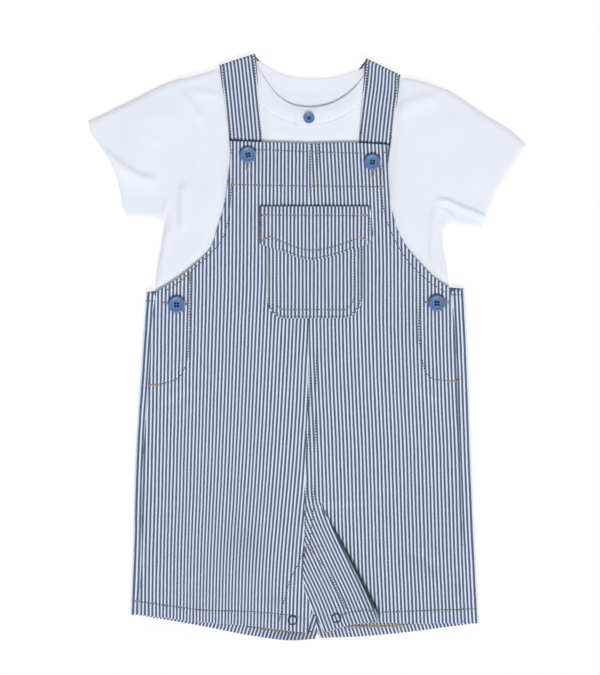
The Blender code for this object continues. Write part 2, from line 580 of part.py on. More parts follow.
def tee_panel(name, neck, height, jersey):
    """A T-shirt body panel between its hem, side seams, armholes, shoulders and neck seam."""
    left, right = (chain(evenly(TEE_SIDE[side], TEE_SIDE_CELLS), evenly(TEE_ARMHOLE[side], TEE_ARMHOLE_CELLS))
                   for side in ("left", "right"))
    top = chain(evenly(TEE_SHOULDER["left"], TEE_SHOULDER_CELLS), evenly(neck, NECK_CELLS),
                evenly(TEE_SHOULDER["right"][::-1], TEE_SHOULDER_CELLS))
    hem = np.linspace(left[0], right[0], len(top))
    return wall(name, raised(coons(hem, top, left, right), height), JERSEY, jersey)


def make_sleeve(side, jersey):
    """A sleeve as a flat tube: upper wall, underarm turn, lower wall and the turn along its top."""
    start = evenly(TEE_ARMHOLE[side][::-1], SLEEVE_ACROSS_CELLS)
    cuff = evenly(SLEEVE_CUFF[side][::-1], SLEEVE_ACROSS_CELLS)
    top = evenly(SLEEVE_TOP[side], SLEEVE_ALONG_CELLS)
    under = evenly(SLEEVE_UNDER[side], SLEEVE_ALONG_CELLS)
    run = np.gradient(start, axis=0)
    outward = np.column_stack([run[:, 1], -run[:, 0]]) / np.linalg.norm(run, axis=1, keepdims=True)
    start = start + SEAM * (outward if side == "left" else -outward)
    top[0], under[0] = start[0], start[-1]
    plan = coons(start, cuff, top, under)
    rings = []
    for points in plan:
        across = points[-1] - points[0]
        across = across / np.linalg.norm(across)
        upper = np.column_stack([points, tee_front_mid(points[:, 0], points[:, 1])])
        lower = np.column_stack([points, tee_back_mid(points[:, 0], points[:, 1])])[::-1]
        turns = []
        for end, way in ((points[-1], 1.0), (points[0], -1.0)):
            high = float(tee_front_mid(*end))
            low = float(tee_back_mid(*end))
            middle, reach = (high + low) / 2, (high - low) / 2
            turn = []
            for k in range(1, TEE_TURN_CELLS):
                angle = math.pi * k / TEE_TURN_CELLS
                out = end + way * across * reach * math.sin(angle)
                turn.append((*out, middle + way * reach * math.cos(angle)))
            turns.append(np.array(turn))
        rings.append(np.concatenate([upper, turns[0], lower, turns[1]]))
    return wall(f"sleeve_{side}", np.array(rings), JERSEY, jersey, ring=True)


def make_neckband(jersey):
    """The neckband: one ring that lies on the front, turns at each shoulder and passes behind."""
    across = np.linspace(0.0, 1.0, NECKBAND_ACROSS_CELLS + 1)[:, None, None]

    def half(edge, seam, height):
        edge, seam = evenly(edge, NECK_CELLS), evenly(seam, NECK_CELLS)
        toward = edge - seam
        seam = seam + SEAM * toward / np.linalg.norm(toward, axis=1, keepdims=True)
        return raised((1 - across) * edge[None] + across * seam[None], height)

    front = half(NECK_EDGE_FRONT, NECK_SEAM_FRONT, tee_front_mid)
    back = half(NECK_EDGE_BACK[::-1], NECK_SEAM_BACK[::-1], tee_back_mid)

    def turn(high, low):
        end = high[:, :2]
        fold = end[0] - end[-1]
        away = np.array([-fold[1], fold[0]]) / np.linalg.norm(fold)
        away = away if away[1] > 0 else -away
        columns = []
        for k in range(1, TEE_TURN_CELLS):
            angle = math.pi * k / TEE_TURN_CELLS
            middle, reach = (high[:, 2] + low[:, 2]) / 2, (high[:, 2] - low[:, 2]) / 2
            out = end + away * (reach * math.sin(angle))[:, None]
            columns.append(np.column_stack([out, middle + reach * math.cos(angle)]))
        return np.array(columns).transpose(1, 0, 2)

    right_turn = turn(front[:, -1], back[:, 0])
    left_turn = turn(front[:, 0], back[:, -1])[:, ::-1]
    grid = np.concatenate([front, right_turn, back, left_turn], axis=1)
    return wall("neckband", grid, JERSEY, jersey, ring=True)


def neck_tab_grid():
    """Middle surface of the button tab, flat on the highest point under it."""
    across = np.linspace(NECK_TAB["left"], NECK_TAB["right"], NECK_TAB_CELLS + 1)
    along = np.linspace(NECK_TAB["low"], NECK_TAB["high"], NECK_TAB_CELLS + 1)
    x, y = np.meshgrid(across, along)
    z = tee_front_mid(x, y).max() + JERSEY / 2 + SEAM + PATCH / 2
    return np.dstack([x, y, np.full_like(x, z)])


def make_neck_tab(jersey):
    """The short button tab at the middle of the front neckband."""
    return wall("neck_tab", neck_tab_grid(), PATCH, jersey)


# Pocket

def make_pocket(cloth):
    """Patch pocket with a straight mouth, straight sides and rounded lower corners."""
    quarter = np.linspace(0.0, math.pi / 2, POCKET_CORNER_CELLS + 1)
    left_wide, left_high = POCKET_CORNER["left"]
    right_wide, right_high = POCKET_CORNER["right"]
    left_arc = np.column_stack([POCKET_LEFT_X + left_wide * (1 - np.cos(quarter)),
                                POCKET_FLOOR_Y + left_high * (1 - np.sin(quarter))])
    right_arc = np.column_stack([POCKET_RIGHT_X - right_wide * (1 - np.cos(quarter)),
                                 POCKET_FLOOR_Y + right_high * (1 - np.sin(quarter))])[::-1]
    floor = chain(left_arc, np.linspace(left_arc[-1], right_arc[0], POCKET_CORNER_CELLS + 1), right_arc)
    top = np.linspace((POCKET_LEFT_X, POCKET_TOP_Y), (POCKET_RIGHT_X, POCKET_TOP_Y), len(floor))
    left = np.linspace(floor[0], top[0], POCKET_SIDE_CELLS + 1)
    right = np.linspace(floor[-1], top[-1], POCKET_SIDE_CELLS + 1)
    return wall("pocket", raised(coons(floor, top, left, right), pocket_mid), PATCH, cloth)


def make_flap(cloth):
    """Pocket flap with a soft point and a bowed right side, stepped down beyond the pocket's edges."""
    point = np.array(FLAP_POINT)
    columns = np.concatenate([point[:1, 0], FLAP_COLUMNS, point[-1:, 0]])
    lower = np.interp(columns, point[:, 0], point[:, 1])
    share = np.array(FLAP_ROWS)[:, None]
    step_start, step_end = (POCKET_TOP_Y + rise for rise in FLAP_STEP)
    y = np.concatenate([(1 - share) * lower + share * step_start, np.full((1, len(columns)), step_end),
                        np.full((1, len(columns)), FLAP_TOP_Y)])
    past_pocket = np.clip((columns - POCKET_RIGHT_X) / (columns[-1] - POCKET_RIGHT_X), 0.0, 1.0)
    bow = x_at(FLAP_RIGHT_SIDE, y[:, -1:]) - columns[-1]
    x = columns + past_pocket * bow
    return wall("pocket_flap", raised(np.dstack([x, y]), flap_mid), PATCH, cloth)


# Fastenings

def turned(profile, segments):
    """Points and faces of a profile of (radius, z) turned about Z; its first and last radii are zero."""
    angles = [2 * math.pi * k / segments for k in range(segments)]
    points = [(0.0, 0.0, profile[0][1])]
    for radius, z in profile[1:-1]:
        points += [(radius * math.cos(angle), radius * math.sin(angle), z) for angle in angles]
    points.append((0.0, 0.0, profile[-1][1]))
    rings = len(profile) - 2
    spans = [(k, (k + 1) % segments) for k in range(segments)]
    faces = [[0, 1 + there, 1 + here] for here, there in spans]
    for ring in range(rings - 1):
        low, high = 1 + ring * segments, 1 + (ring + 1) * segments
        faces += [[low + here, low + there, high + there, high + here] for here, there in spans]
    last, top = 1 + (rings - 1) * segments, len(points) - 1
    faces += [[last + here, last + there, top] for here, there in spans]
    return np.array(points), faces


def make_button(spec, base, material):
    """A four-hole button with a raised rim, lying just above the cloth."""
    scale = spec["radius"] / BUTTON_RADIUS
    section = [((BUTTON_RADIUS - inset) * scale, height * scale) for inset, height in BUTTON_PROFILE]
    points, faces = turned([(0.0, 0.0)] + section + [(0.0, BUTTON_FACE_HEIGHT * scale)], BUTTON_SEGMENTS)
    centre = np.array([spec["x"], spec["y"], base])
    button = new_object(spec["node"], points + centre, faces, material)
    hole_radius, hole_reach = BUTTON_HOLE_RADIUS * scale, BUTTON_HOLE_REACH * scale
    low, high = BUTTON_CUTTER
    hole_profile = [(0.0, low), (hole_radius, low), (hole_radius, high), (0.0, high)]
    hole_points, hole_faces = turned(hole_profile, BUTTON_HOLE_SEGMENTS)
    for k in range(4):
        angle = spec["turn"] + math.pi / 2 * k
        place = centre + np.array([hole_reach * math.cos(angle), hole_reach * math.sin(angle), 0.0])
        cutter = new_object(f"{spec['node']}_hole_{k}", hole_points + place, hole_faces, material)
        cutter.hide_render = True
        cutter.display_type = "WIRE"
        cut = button.modifiers.new(f"hole_{k}", "BOOLEAN")
        cut.operation = "DIFFERENCE"
        cut.object = cutter
    return button


def make_snap(spec, base, material):
    """The ring of a press stud."""
    mid = SNAP_RADIUS - SNAP_BAND / 2
    count = SNAP_SECTION_POINTS
    turns = [2 * math.pi * j / count for j in range(count)]
    section = [(SNAP_BAND / 2 * math.cos(turn), SNAP_HALF_HEIGHT * math.sin(turn)) for turn in turns]
    ring = []
    for k in range(SNAP_SEGMENTS):
        angle = 2 * math.pi * k / SNAP_SEGMENTS
        ring.append([(spec["x"] + (mid + out) * math.cos(angle), spec["y"] + (mid + out) * math.sin(angle),
                      base + SNAP_HALF_HEIGHT + up) for out, up in section])
    points = np.array(ring).reshape(-1, 3)
    faces = []
    for k in range(SNAP_SEGMENTS):
        for j in range(count):
            here, there = k * count, (k + 1) % SNAP_SEGMENTS * count
            faces.append([here + j, there + j, there + (j + 1) % count, here + (j + 1) % count])
    return new_object(spec["node"], points, faces, material)


def surface_top(spec, height, reach):
    """Highest point of a middle surface within reach of a fastening's centre."""
    angles = np.linspace(0.0, 2 * math.pi, 17)
    x = spec["x"] + np.concatenate([[0.0], reach * np.cos(angles)])
    y = spec["y"] + np.concatenate([[0.0], reach * np.sin(angles)])
    return float(height(x, y).max())


def main():
    """Builds every piece of the set."""
    for obj in list(bpy.data.objects):
        bpy.data.objects.remove(obj)
    stripe = make_material("striped_cotton", (0.33, 0.38, 0.50), 0.85)
    jersey = make_material("white_jersey", (0.80, 0.83, 0.90), 0.9)
    button = make_material("blue_button", (0.12, 0.22, 0.42), 0.45)
    enamel = make_material("navy_enamel", (0.02, 0.05, 0.13), 0.35, 0.4)

    for side in ("left", "right"):
        make_back(side, stripe)
        make_strap(side, stripe)
        make_sleeve(side, jersey)
    make_front_left(stripe)
    make_front_right(stripe)
    make_pocket(stripe)
    make_flap(stripe)
    tee_panel("tee_back", NECK_SEAM_BACK, tee_back_mid, jersey)
    tee_panel("tee_front", NECK_SEAM_FRONT, tee_front_mid, jersey)
    make_neckband(jersey)
    make_neck_tab(jersey)

    neck_tab_top = float(neck_tab_grid()[0, 0, 2]) + PATCH / 2
    for spec in BUTTONS:
        on_tab = spec["node"] == "button_neck"
        top = neck_tab_top if on_tab else surface_top(spec, front_mid, spec["radius"]) + CLOTH / 2
        make_button(spec, top + SEAM, button)
    for spec in SNAPS:
        make_snap(spec, surface_top(spec, front_mid, SNAP_RADIUS) + CLOTH / 2 + SEAM, enamel)


main()
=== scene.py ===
"""Looks of a toddler's dungaree set laid flat: striped bib shorts over a white T-shirt.

Lengths in the tables and functions are millimetres in the maker's own plan, with the shoulders
towards +Y and the front towards +Z, and each mesh is moved into the frame and turned into metres
once, when it is made. "Left" and "right" are the sides as seen from above.
"""

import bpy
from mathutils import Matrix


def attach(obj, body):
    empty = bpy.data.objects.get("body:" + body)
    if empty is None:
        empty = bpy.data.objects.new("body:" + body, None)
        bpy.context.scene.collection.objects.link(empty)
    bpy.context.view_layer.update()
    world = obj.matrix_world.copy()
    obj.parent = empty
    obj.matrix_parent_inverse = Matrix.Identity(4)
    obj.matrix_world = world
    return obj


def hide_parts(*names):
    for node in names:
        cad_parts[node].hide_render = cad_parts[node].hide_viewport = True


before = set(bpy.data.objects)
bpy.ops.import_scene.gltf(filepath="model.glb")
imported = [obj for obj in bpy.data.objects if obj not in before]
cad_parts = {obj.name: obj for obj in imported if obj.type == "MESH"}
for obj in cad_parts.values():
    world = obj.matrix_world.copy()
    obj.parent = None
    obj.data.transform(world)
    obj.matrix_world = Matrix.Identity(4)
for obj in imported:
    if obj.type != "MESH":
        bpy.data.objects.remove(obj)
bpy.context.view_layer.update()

import logging
import math
from dataclasses import dataclass, field
from enum import Enum
from typing import Callable

import bpy
import numpy as np

LOG = logging.getLogger("dungaree_set")
MM = 0.001
ORIGIN_SHIFT = np.array([-0.1, 0.8, 0.0])
Height = Callable[[np.ndarray, np.ndarray], np.ndarray]
Table = list[tuple[float, float]]


class Side(Enum):
    """The two sides of the set, as seen from above."""

    LEFT = "left"
    RIGHT = "right"

    @property
    def sign(self) -> float:
        """Direction of this side along X."""
        return -1.0 if self is Side.LEFT else 1.0


# Curves and grids


def smoothstep(value: np.ndarray, low: float, high: float) -> np.ndarray:
    """A soft step: 0 at low, 1 at high, 3t^2 - 2t^3 between.

    Args:
        value: numbers to step.
        low: where the step starts; it may be above high.
        high: where the step ends.

    Returns:
        Numbers from 0 to 1.
    """
    t = np.clip((np.asarray(value, float) - low) / (high - low), 0.0, 1.0)
    return t * t * (3.0 - 2.0 * t)


def smooth_curve(points: Table, fractions: np.ndarray) -> np.ndarray:
    """Cubic Hermite curve through the points, read at fractions of its length.

    Args:
        points: the points it passes through.
        fractions: where to read it, from 0 to 1.

    Returns:
        One point for each fraction.
    """
    nodes = np.array(points, float)
    knots = lengths(nodes)
    slopes = np.gradient(nodes, knots, axis=0)
    fine = np.linspace(0.0, knots[-1], 900)
    piece = np.clip(np.searchsorted(knots, fine, side="right") - 1, 0, len(knots) - 2)
    width = (knots[piece + 1] - knots[piece])[:, None]
    t = (fine - knots[piece])[:, None] / width
    dense = ((2 * t**3 - 3 * t**2 + 1) * nodes[piece] + (t**3 - 2 * t**2 + t) * width * slopes[piece]
             + (3 * t**2 - 2 * t**3) * nodes[piece + 1] + (t**3 - t**2) * width * slopes[piece + 1])
    length = lengths(dense)
    at = np.asarray(fractions, float) * length[-1]
    return np.column_stack([np.interp(at, length, dense[:, k]) for k in range(nodes.shape[1])])


def evenly(points: Table, cells: int) -> np.ndarray:
    """The smooth curve through the points, cut into equal cells."""
    return smooth_curve(points, np.linspace(0.0, 1.0, cells + 1))


def chain(*parts: np.ndarray) -> np.ndarray:
    """Curves joined end to end without repeating the points that they share."""
    return np.concatenate([parts[0]] + [part[1:] for part in parts[1:]])


def x_at(points: Table, heights: np.ndarray) -> np.ndarray:
    """x of a smooth line through points that rise in y, at the given heights."""
    dense = smooth_curve(points, np.linspace(0.0, 1.0, 400))
    return np.interp(heights, dense[:, 1], dense[:, 0])


def side_line(points: Table, cells: int, share: np.ndarray) -> np.ndarray:
    """The line up a panel's side, at shares of its height."""
    line = evenly(points, cells)
    heights = line[0, 1] + share * (line[-1, 1] - line[0, 1])
    return np.column_stack([np.interp(heights, line[:, 1], line[:, 0]), heights])


def lengths(line: np.ndarray) -> np.ndarray:
    """Length along a line at each of its points."""
    return np.concatenate([[0.0], np.cumsum(np.linalg.norm(np.diff(line, axis=0), axis=1))])


def along_line(path: np.ndarray, at: np.ndarray) -> tuple[np.ndarray, np.ndarray]:
    """x and y at lengths along a line."""
    run = lengths(path)
    return np.interp(at, run, path[:, 0]), np.interp(at, run, path[:, 1])


def as_path(points: Table, cells: int) -> np.ndarray:
    """A smooth path through the points, or a straight one where there are only two."""
    return evenly(points, cells) if len(points) > 2 else np.array(points, float)


def unit(vectors: np.ndarray) -> np.ndarray:
    """Vectors of length one, along the last axis."""
    return vectors / np.maximum(np.linalg.norm(vectors, axis=-1, keepdims=True), 1e-9)


def circle(count: int) -> np.ndarray:
    """Equal angles round a full circle."""
    return 2 * math.pi * np.arange(count) / count


def coons(bottom: np.ndarray, top: np.ndarray, left: np.ndarray, right: np.ndarray) -> np.ndarray:
    """Plan grid between four lines: the two ruled surfaces added, less the bilinear corner surface.

    Args:
        bottom: first row.
        top: last row, with as many points.
        left: first column.
        right: last column, with as many points.

    Returns:
        Grid [row, column, xy].
    """
    across = (lengths(bottom) / lengths(bottom)[-1] + lengths(top) / lengths(top)[-1]) / 2
    along = (lengths(left) / lengths(left)[-1] + lengths(right) / lengths(right)[-1]) / 2
    u, v = across[None, :, None], along[:, None, None]
    ruled = (1 - v) * bottom[None] + v * top[None] + (1 - u) * left[:, None] + u * right[:, None]
    corners = ((1 - u) * (1 - v) * bottom[0] + u * (1 - v) * bottom[-1]
               + (1 - u) * v * top[0] + u * v * top[-1])
    return ruled - corners


def raised(plan: np.ndarray, height: Height) -> np.ndarray:
    """A plan grid with the height function's z added."""
    return np.dstack([plan, height(plan[..., 0], plan[..., 1])])


def nearest(path: np.ndarray, x: np.ndarray, y: np.ndarray) -> tuple[np.ndarray, np.ndarray]:
    """Distance from each place to a line, and the length along the line at the nearest point.

    Args:
        path: the line's points, in plan.
        x: places' x.
        y: places' y.

    Returns:
        Distances and lengths along the line, in the places' shape.
    """
    best = np.full(np.shape(x), 1e9)
    along = np.zeros(np.shape(x))
    run = lengths(path)
    for start, end, passed in zip(path[:-1], path[1:], run[:-1]):
        step = end - start
        size = float(np.hypot(*step))
        share = np.clip(((x - start[0]) * step[0] + (y - start[1]) * step[1]) / size**2, 0.0, 1.0)
        away = np.hypot(x - start[0] - share * step[0], y - start[1] - share * step[1])
        closer = away < best
        best = np.where(closer, away, best)
        along = np.where(closer, passed + share * size, along)
    return best, along


def left_hand(path: np.ndarray, x: np.ndarray, y: np.ndarray) -> np.ndarray:
    """Whether each place is on the left of a line, as one goes along it: the sign of a cross product."""
    best = np.full(np.shape(x), 1e9)
    on_left = np.zeros(np.shape(x), bool)
    for start, end in zip(path[:-1], path[1:]):
        step, middle = end - start, (start + end) / 2
        away = np.hypot(x - middle[0], y - middle[1])
        on_left = np.where(away < best, step[0] * (y - start[1]) > step[1] * (x - start[0]), on_left)
        best = np.minimum(best, away)
    return on_left


# The cut: outlines in plan

CROTCH_Y = -181.8
LEG_PART_Y = -235.8
WAIST_Y = 48.6
OPENING_END_Y = -38.0

CENTRE_SEAM = [(3.5, -235.8), (1.8, -228.6), (-1.2, -223.2), (-3.1, -210.6), (-2.7, -181.8),
               (-1.8, -122), (-0.4, -80), (1, -40), (1.8, 20), (1.8, 183)]
FRONT_INNER = {Side.LEFT: [(0, -257.4), (2.3, -246.6), (3.4, -235.9)],
               Side.RIGHT: [(16.2, -257.4), (8.4, -243.5), (3.6, -235.9)]}
FRONT_HEM = {Side.LEFT: [(0, -257.4), (-23.4, -254.7), (-52, -251), (-89, -248.4), (-113.4, -245.7),
                         (-151.0, -241.0)],
             Side.RIGHT: [(16.2, -257.4), (38.7, -250.4), (58, -248.4), (90, -249.2), (139.5, -248.5)]}
FRONT_SIDE = {Side.LEFT: [(-151, -241), (-148.3, -194), (-148, -120), (-143.6, -55), (-141.3, -20.7),
                          (-138.6, 25), (-135, 48.6)],
              Side.RIGHT: [(139.5, -248.5), (139.5, -192.6), (138.6, -138.6), (136.2, -70), (134.6, -38),
                           (131.4, 28), (128.7, 51.5)]}
ARMHOLE = {Side.LEFT: [(-68.4, 184), (-68.6, 167), (-71, 146), (-74.7, 124), (-79.6, 108), (-86.4, 88),
                       (-99.9, 73.8), (-116, 60.5), (-135, 48.6)],
           Side.RIGHT: [(72, 180.6), (72.4, 160), (74, 136), (76.6, 120), (81.9, 102.6), (90, 88),
                        (101.7, 73.8), (115, 60.5), (128.7, 51.5)]}
BIB_TOP = {Side.LEFT: [(1.8, 181.4), (-30, 182.6), (-68.4, 184)],
           Side.RIGHT: [(1.8, 181.4), (45, 182.2), (72, 180.6)]}
BACK_INNER = {Side.LEFT: [(7, -263.2), (9.2, -258.4), (8, -243), (3, -215), (-2.7, -181.8)],
              Side.RIGHT: [(11.8, -262.3), (9.8, -258.4), (8, -243), (3, -215), (-2.7, -181.8)]}
BACK_HEM = {Side.LEFT: [(7, -263.2), (-12, -264.6), (-48.6, -260.5), (-92.7, -252), (-134, -244.8),
                        (-156.0, -241.2)],
            Side.RIGHT: [(11.8, -262.3), (47.7, -261), (92.7, -256.8), (130, -252), (152.2, -249)]}
SILHOUETTE = {Side.LEFT: [(-158.6, -241.2), (-156.7, -195), (-154.2, -100), (-149.2, -20), (-144.5, 48.6)],
              Side.RIGHT: [(154.8, -249), (151.6, -184), (147.9, -100), (145.2, -20), (141.9, 51.5)]}
BACK_SCOOP = {Side.LEFT: [(-36, 139.7), (-41, 118), (-50, 98), (-68, 78), (-95, 61),
                          (-120, 52), (-141.7, 48.6)],
              Side.RIGHT: [(39, 139.7), (44, 118), (53, 98), (70, 78), (95, 62), (118, 54),
                           (139.1, 51.5)]}
TEE_SIDE = {Side.LEFT: [(-133, -98), (-134.5, 0), (-135.9, 54), (-134.1, 72), (-131.4, 86.4),
                        (-127.6, 111.0)],
            Side.RIGHT: [(126, -98), (126.6, 0), (127.2, 54), (125.1, 72), (122.4, 88), (121.2, 103)]}
TEE_ARMHOLE = {Side.LEFT: [(-127.6, 111), (-112, 137), (-103, 165), (-101, 195), (-104, 219),
                           (-113.0, 240.0)],
               Side.RIGHT: [(121.2, 103), (109, 136), (105, 165), (106.5, 190), (114, 212),
                            (125.6, 229.8)]}
TEE_SHOULDER = {Side.LEFT: [(-113, 240), (-96, 244), (-82, 248.4), (-61, 254.6)],
                Side.RIGHT: [(125.6, 229.8), (105.3, 237.2), (92, 240.2), (82, 241.4), (68.5, 247.2)]}
NECK_SEAM_FRONT = [(-61, 254.6), (-53, 230), (-41, 215), (-28.8, 207.4), (-14, 201), (1.8, 198.8),
                   (25.2, 203.2), (42.3, 213.5), (56, 229), (68.5, 247.2)]
NECK_SEAM_BACK = [(-61, 254.6), (-45, 240), (-29.7, 232), (-7.2, 225.9), (6.8, 225), (32.4, 228.4),
                  (51, 236.5), (68.5, 247.2)]
NECK_EDGE_FRONT = [(-51, 258), (-45.9, 252.6), (-41, 245), (-34.6, 235.2), (-27.9, 226.8), (-14, 217),
                   (3.2, 214.2), (25.2, 219.2), (42.3, 231.3), (50, 240.8), (58, 252.4)]
NECK_EDGE_BACK = [(-51, 258), (-42.5, 255.4), (-34.6, 250.4), (-24.3, 245), (-10.8, 241.4), (3.2, 240.2),
                  (25.2, 241.8), (44.7, 247.6), (58, 252.4)]
SLEEVE_TOP = {Side.LEFT: [(-113, 240), (-131.8, 233), (-153.4, 222.2), (-175, 211.6), (-196.2, 201.4)],
              Side.RIGHT: [(125.6, 229.8), (133.5, 225), (147.9, 215.2), (162.3, 205.4), (176.7, 196.8),
                           (189.6, 187), (196.2, 180.2)]}
SLEEVE_UNDER = {Side.LEFT: [(-127.6, 111), (-133, 115), (-145, 116.6), (-161.5, 117.2)],
                Side.RIGHT: [(121.2, 103), (129, 110.6), (140, 109.2), (156.4, 106.4)]}
SLEEVE_CUFF = {Side.LEFT: [(-161.5, 117.2), (-164.9, 123.4), (-167.4, 136.8), (-170.8, 151.2), (-176.4, 165.6),
                           (-186.3, 180), (-194.9, 193.4), (-196.2, 201.4)],
               Side.RIGHT: [(156.4, 106.4), (159.6, 114), (163.6, 124), (168, 133.6), (173.7, 144),
                            (187.2, 165.6), (196.2, 180.2)]}
STRAP_FRONT = {Side.LEFT: {"inner": [(-46.4, 260.4), (-45.2, 246), (-43.2, 215), (-41.2, 184.5), (-41, 157)],
                           "outer": [(-78, 250.2), (-76.6, 240), (-72.8, 212), (-69.4, 184.5),
                                     (-67.6, 157.0)]},
               Side.RIGHT: {"inner": [(52.6, 256.2), (51.8, 242), (49, 212), (47.2, 182.7), (46.4, 157)],
                            "outer": [(82.8, 241.4), (82.2, 232), (79, 210), (75.2, 184), (71.6, 157)]}}
STRAP_BACK = {Side.LEFT: {"inner": [(-46.4, 260.4), (-34, 245), (-15, 205), (-4.5, 165), (-1.5, 140)],
                          "outer": [(-78, 250.2), (-65, 231), (-46, 190), (-37, 160),
                                    (-33.5, 140.0)]},
              Side.RIGHT: {"inner": [(52.6, 256.2), (40, 240), (19.5, 203), (8.5, 165), (4.8, 140)],
                           "outer": [(82.8, 241.4), (70, 222), (51, 187), (40.5, 158), (36.5, 140)]}}
POCKET_LEFT_X = -35.1
POCKET_RIGHT_X = 49.5
POCKET_TOP_Y = 118.0
POCKET_FLOOR_Y = 25.2
POCKET_STITCHES = (1.3, 7.4)
POCKET_CORNER = {Side.LEFT: (16, 15), Side.RIGHT: (18, 20)}
FLAP_TOP_Y = 125.1
FLAP_POINT = [(-42.3, 92), (-22.5, 85.4), (-4, 78.6), (5, 77.2), (12, 78.4), (27, 82), (42, 87.4),
              (54.9, 91.8)]
FLAP_RIGHT_SIDE = [(54.9, 91.8), (58.9, 99), (58.4, 108), (57.6, 117), (56, 125.1)]


# Heights of the layers


@dataclass(frozen=True)
class Crease:
    """A soft ridge, or a trough if its rise is negative, along a line that fades at both ends."""

    line: Table
    width: float
    rise: float
    steep: float = 1.0
    fade: float = 0.35

    def height(self, x: np.ndarray, y: np.ndarray) -> np.ndarray:
        """A bell across the line, steeper on the line's left hand, with a smooth start and end along it."""
        path = as_path(self.line, 8)
        away, along = nearest(path, x, y)
        share = along / lengths(path)[-1]
        ends = smoothstep(share, 0.0, self.fade) * smoothstep(share, 1.0, 1.0 - self.fade)
        reach = np.where(left_hand(path, x, y), self.width * self.steep, self.width)
        return self.rise * np.exp(-((away / reach) ** 2)) * ends


@dataclass(frozen=True)
class Puff:
    """A soft swelling: a bell with its own reach across and along."""

    x: float
    y: float
    across: float
    along: float
    rise: float

    def height(self, x: np.ndarray, y: np.ndarray) -> np.ndarray:
        """The bell's height."""
        return self.rise * np.exp(-(((x - self.x) / self.across) ** 2) - ((y - self.y) / self.along) ** 2)


TEE_PUFFS = [Puff(-158.0, 172.0, 22.0, 30.0, 1.5), Puff(-136.0, 205.0, 24.0, 14.0, 1.0),
             Puff(152.0, 158.0, 24.0, 30.0, 1.5), Puff(130.0, 196.0, 20.0, 16.0, 0.9),
             Puff(3.0, 212.0, 26.0, 9.0, 0.8)]
TEE_CREASES = [
    Crease([(-196, 182), (-182, 174), (-168, 163), (-158, 156.5), (-144, 150.5), (-130, 150)], 8,
           2.0, 0.4, 0.2),
    Crease([(-150, 195.5), (-141, 187), (-130, 178)], 4.5, 0.5, 0.5),
    Crease([(-112, 232), (-103, 217), (-92, 199)], 3.6, 1.3, 0.5),
    Crease([(-110, 229), (-92, 227.5), (-74, 223)], 5, 0.8, 0.5),
    Crease([(-112.5, 101), (-113, 125), (-113.4, 148)], 5, 1.9, 0.45, 0.2),
    Crease([(-124, 136), (-129.6, 114)], 2.2, 0.6, 0.6),
    Crease([(-122, 112), (-128.6, 80.1), (-131, 48)], 3.4, 1, 0.6, 0.2),
    Crease([(74, 208), (98, 220), (124, 225)], 8, 1.2, 0.55, 0.25),
    Crease([(112, 131), (126, 131), (137.7, 125.4), (153, 119.4), (168, 111)], 4.2, 1.9, 0.36, 0.22),
    Crease([(114, 126), (124, 122), (136, 111)], 3, 0.8, 0.5),
    Crease([(130, 52), (112.5, 78), (112, 100), (113, 128)], 4, 1.6, 0.36, 0.2),
    Crease([(128, 62), (120, 80), (118, 100)], 2.6, 0.5, 0.5),
    Crease([(-96, 150), (-92, 128), (-100, 104)], 9, 0.5),
    Crease([(90, 130), (98, 112), (112, 96)], 9, 0.5),
]
FRONT_SWELLS = [Puff(-70.0, -30.0, 60.0, 70.0, 0.5), Puff(60.0, -60.0, 50.0, 90.0, 0.4),
                Puff(-56.0, -176.0, 22.0, 18.0, -0.35), Puff(-100.0, -150.0, 30.0, 50.0, 0.45),
                Puff(100.0, -150.0, 26.0, 40.0, 0.5), Puff(-30.0, 150.0, 40.0, 20.0, 0.25)]
FRONT_CREASES = [Crease([(84, -182), (102, -194), (122, -208)], 6, -0.8),
                 Crease([(92, -176), (110, -186), (128, -198)], 7, 0.7),
                 Crease([(132, -206), (142, -222)], 5, -0.5),
                 Crease([(-128, -72), (-80, -76), (-30, -70)], 9, 0.3),
                 Crease([(20, -128), (70, -118), (128, -112)], 10, 0.35),
                 Crease([(-140, -180), (-110, -196), (-80, -204)], 8, 0.4),
                 Crease([(84, 30), (96, 4), (92, -30)], 8, -0.3),
                 Crease([(60, 118.8), (65.3, 113.4), (65.7, 99.9)], 2, -0.35)]
# Painted shade: shares of black in the fronts' creases and hollows, between the legs and under the left leg's
# inner corner.
FRONT_SHADES = [Puff(-2.7, -186.3, 1.3, 4.0, 0.8), Puff(8.0, -180.0, 5.0, 1.0, 0.3),
                Puff(-56.0, -175.0, 15.0, 13.0, 0.10), Puff(142.0, -219.0, 7.0, 9.0, 0.12),
                Puff(88.0, 19.0, 10.0, 14.0, 0.05), Puff(-30.0, -228.0, 8.0, 4.0, 0.12),
                Crease([(27, -226), (36, -229), (45, -235)], 2.2, 0.14),
                Crease([(78, -180), (102, -194), (126, -210)], 5, 0.10)]
# Painted shade on the back's hem, where it shows below the fronts' hems.
HEM_SHADE = Puff(-12.0, -262.0, 30.0, 8.0, 0.32)


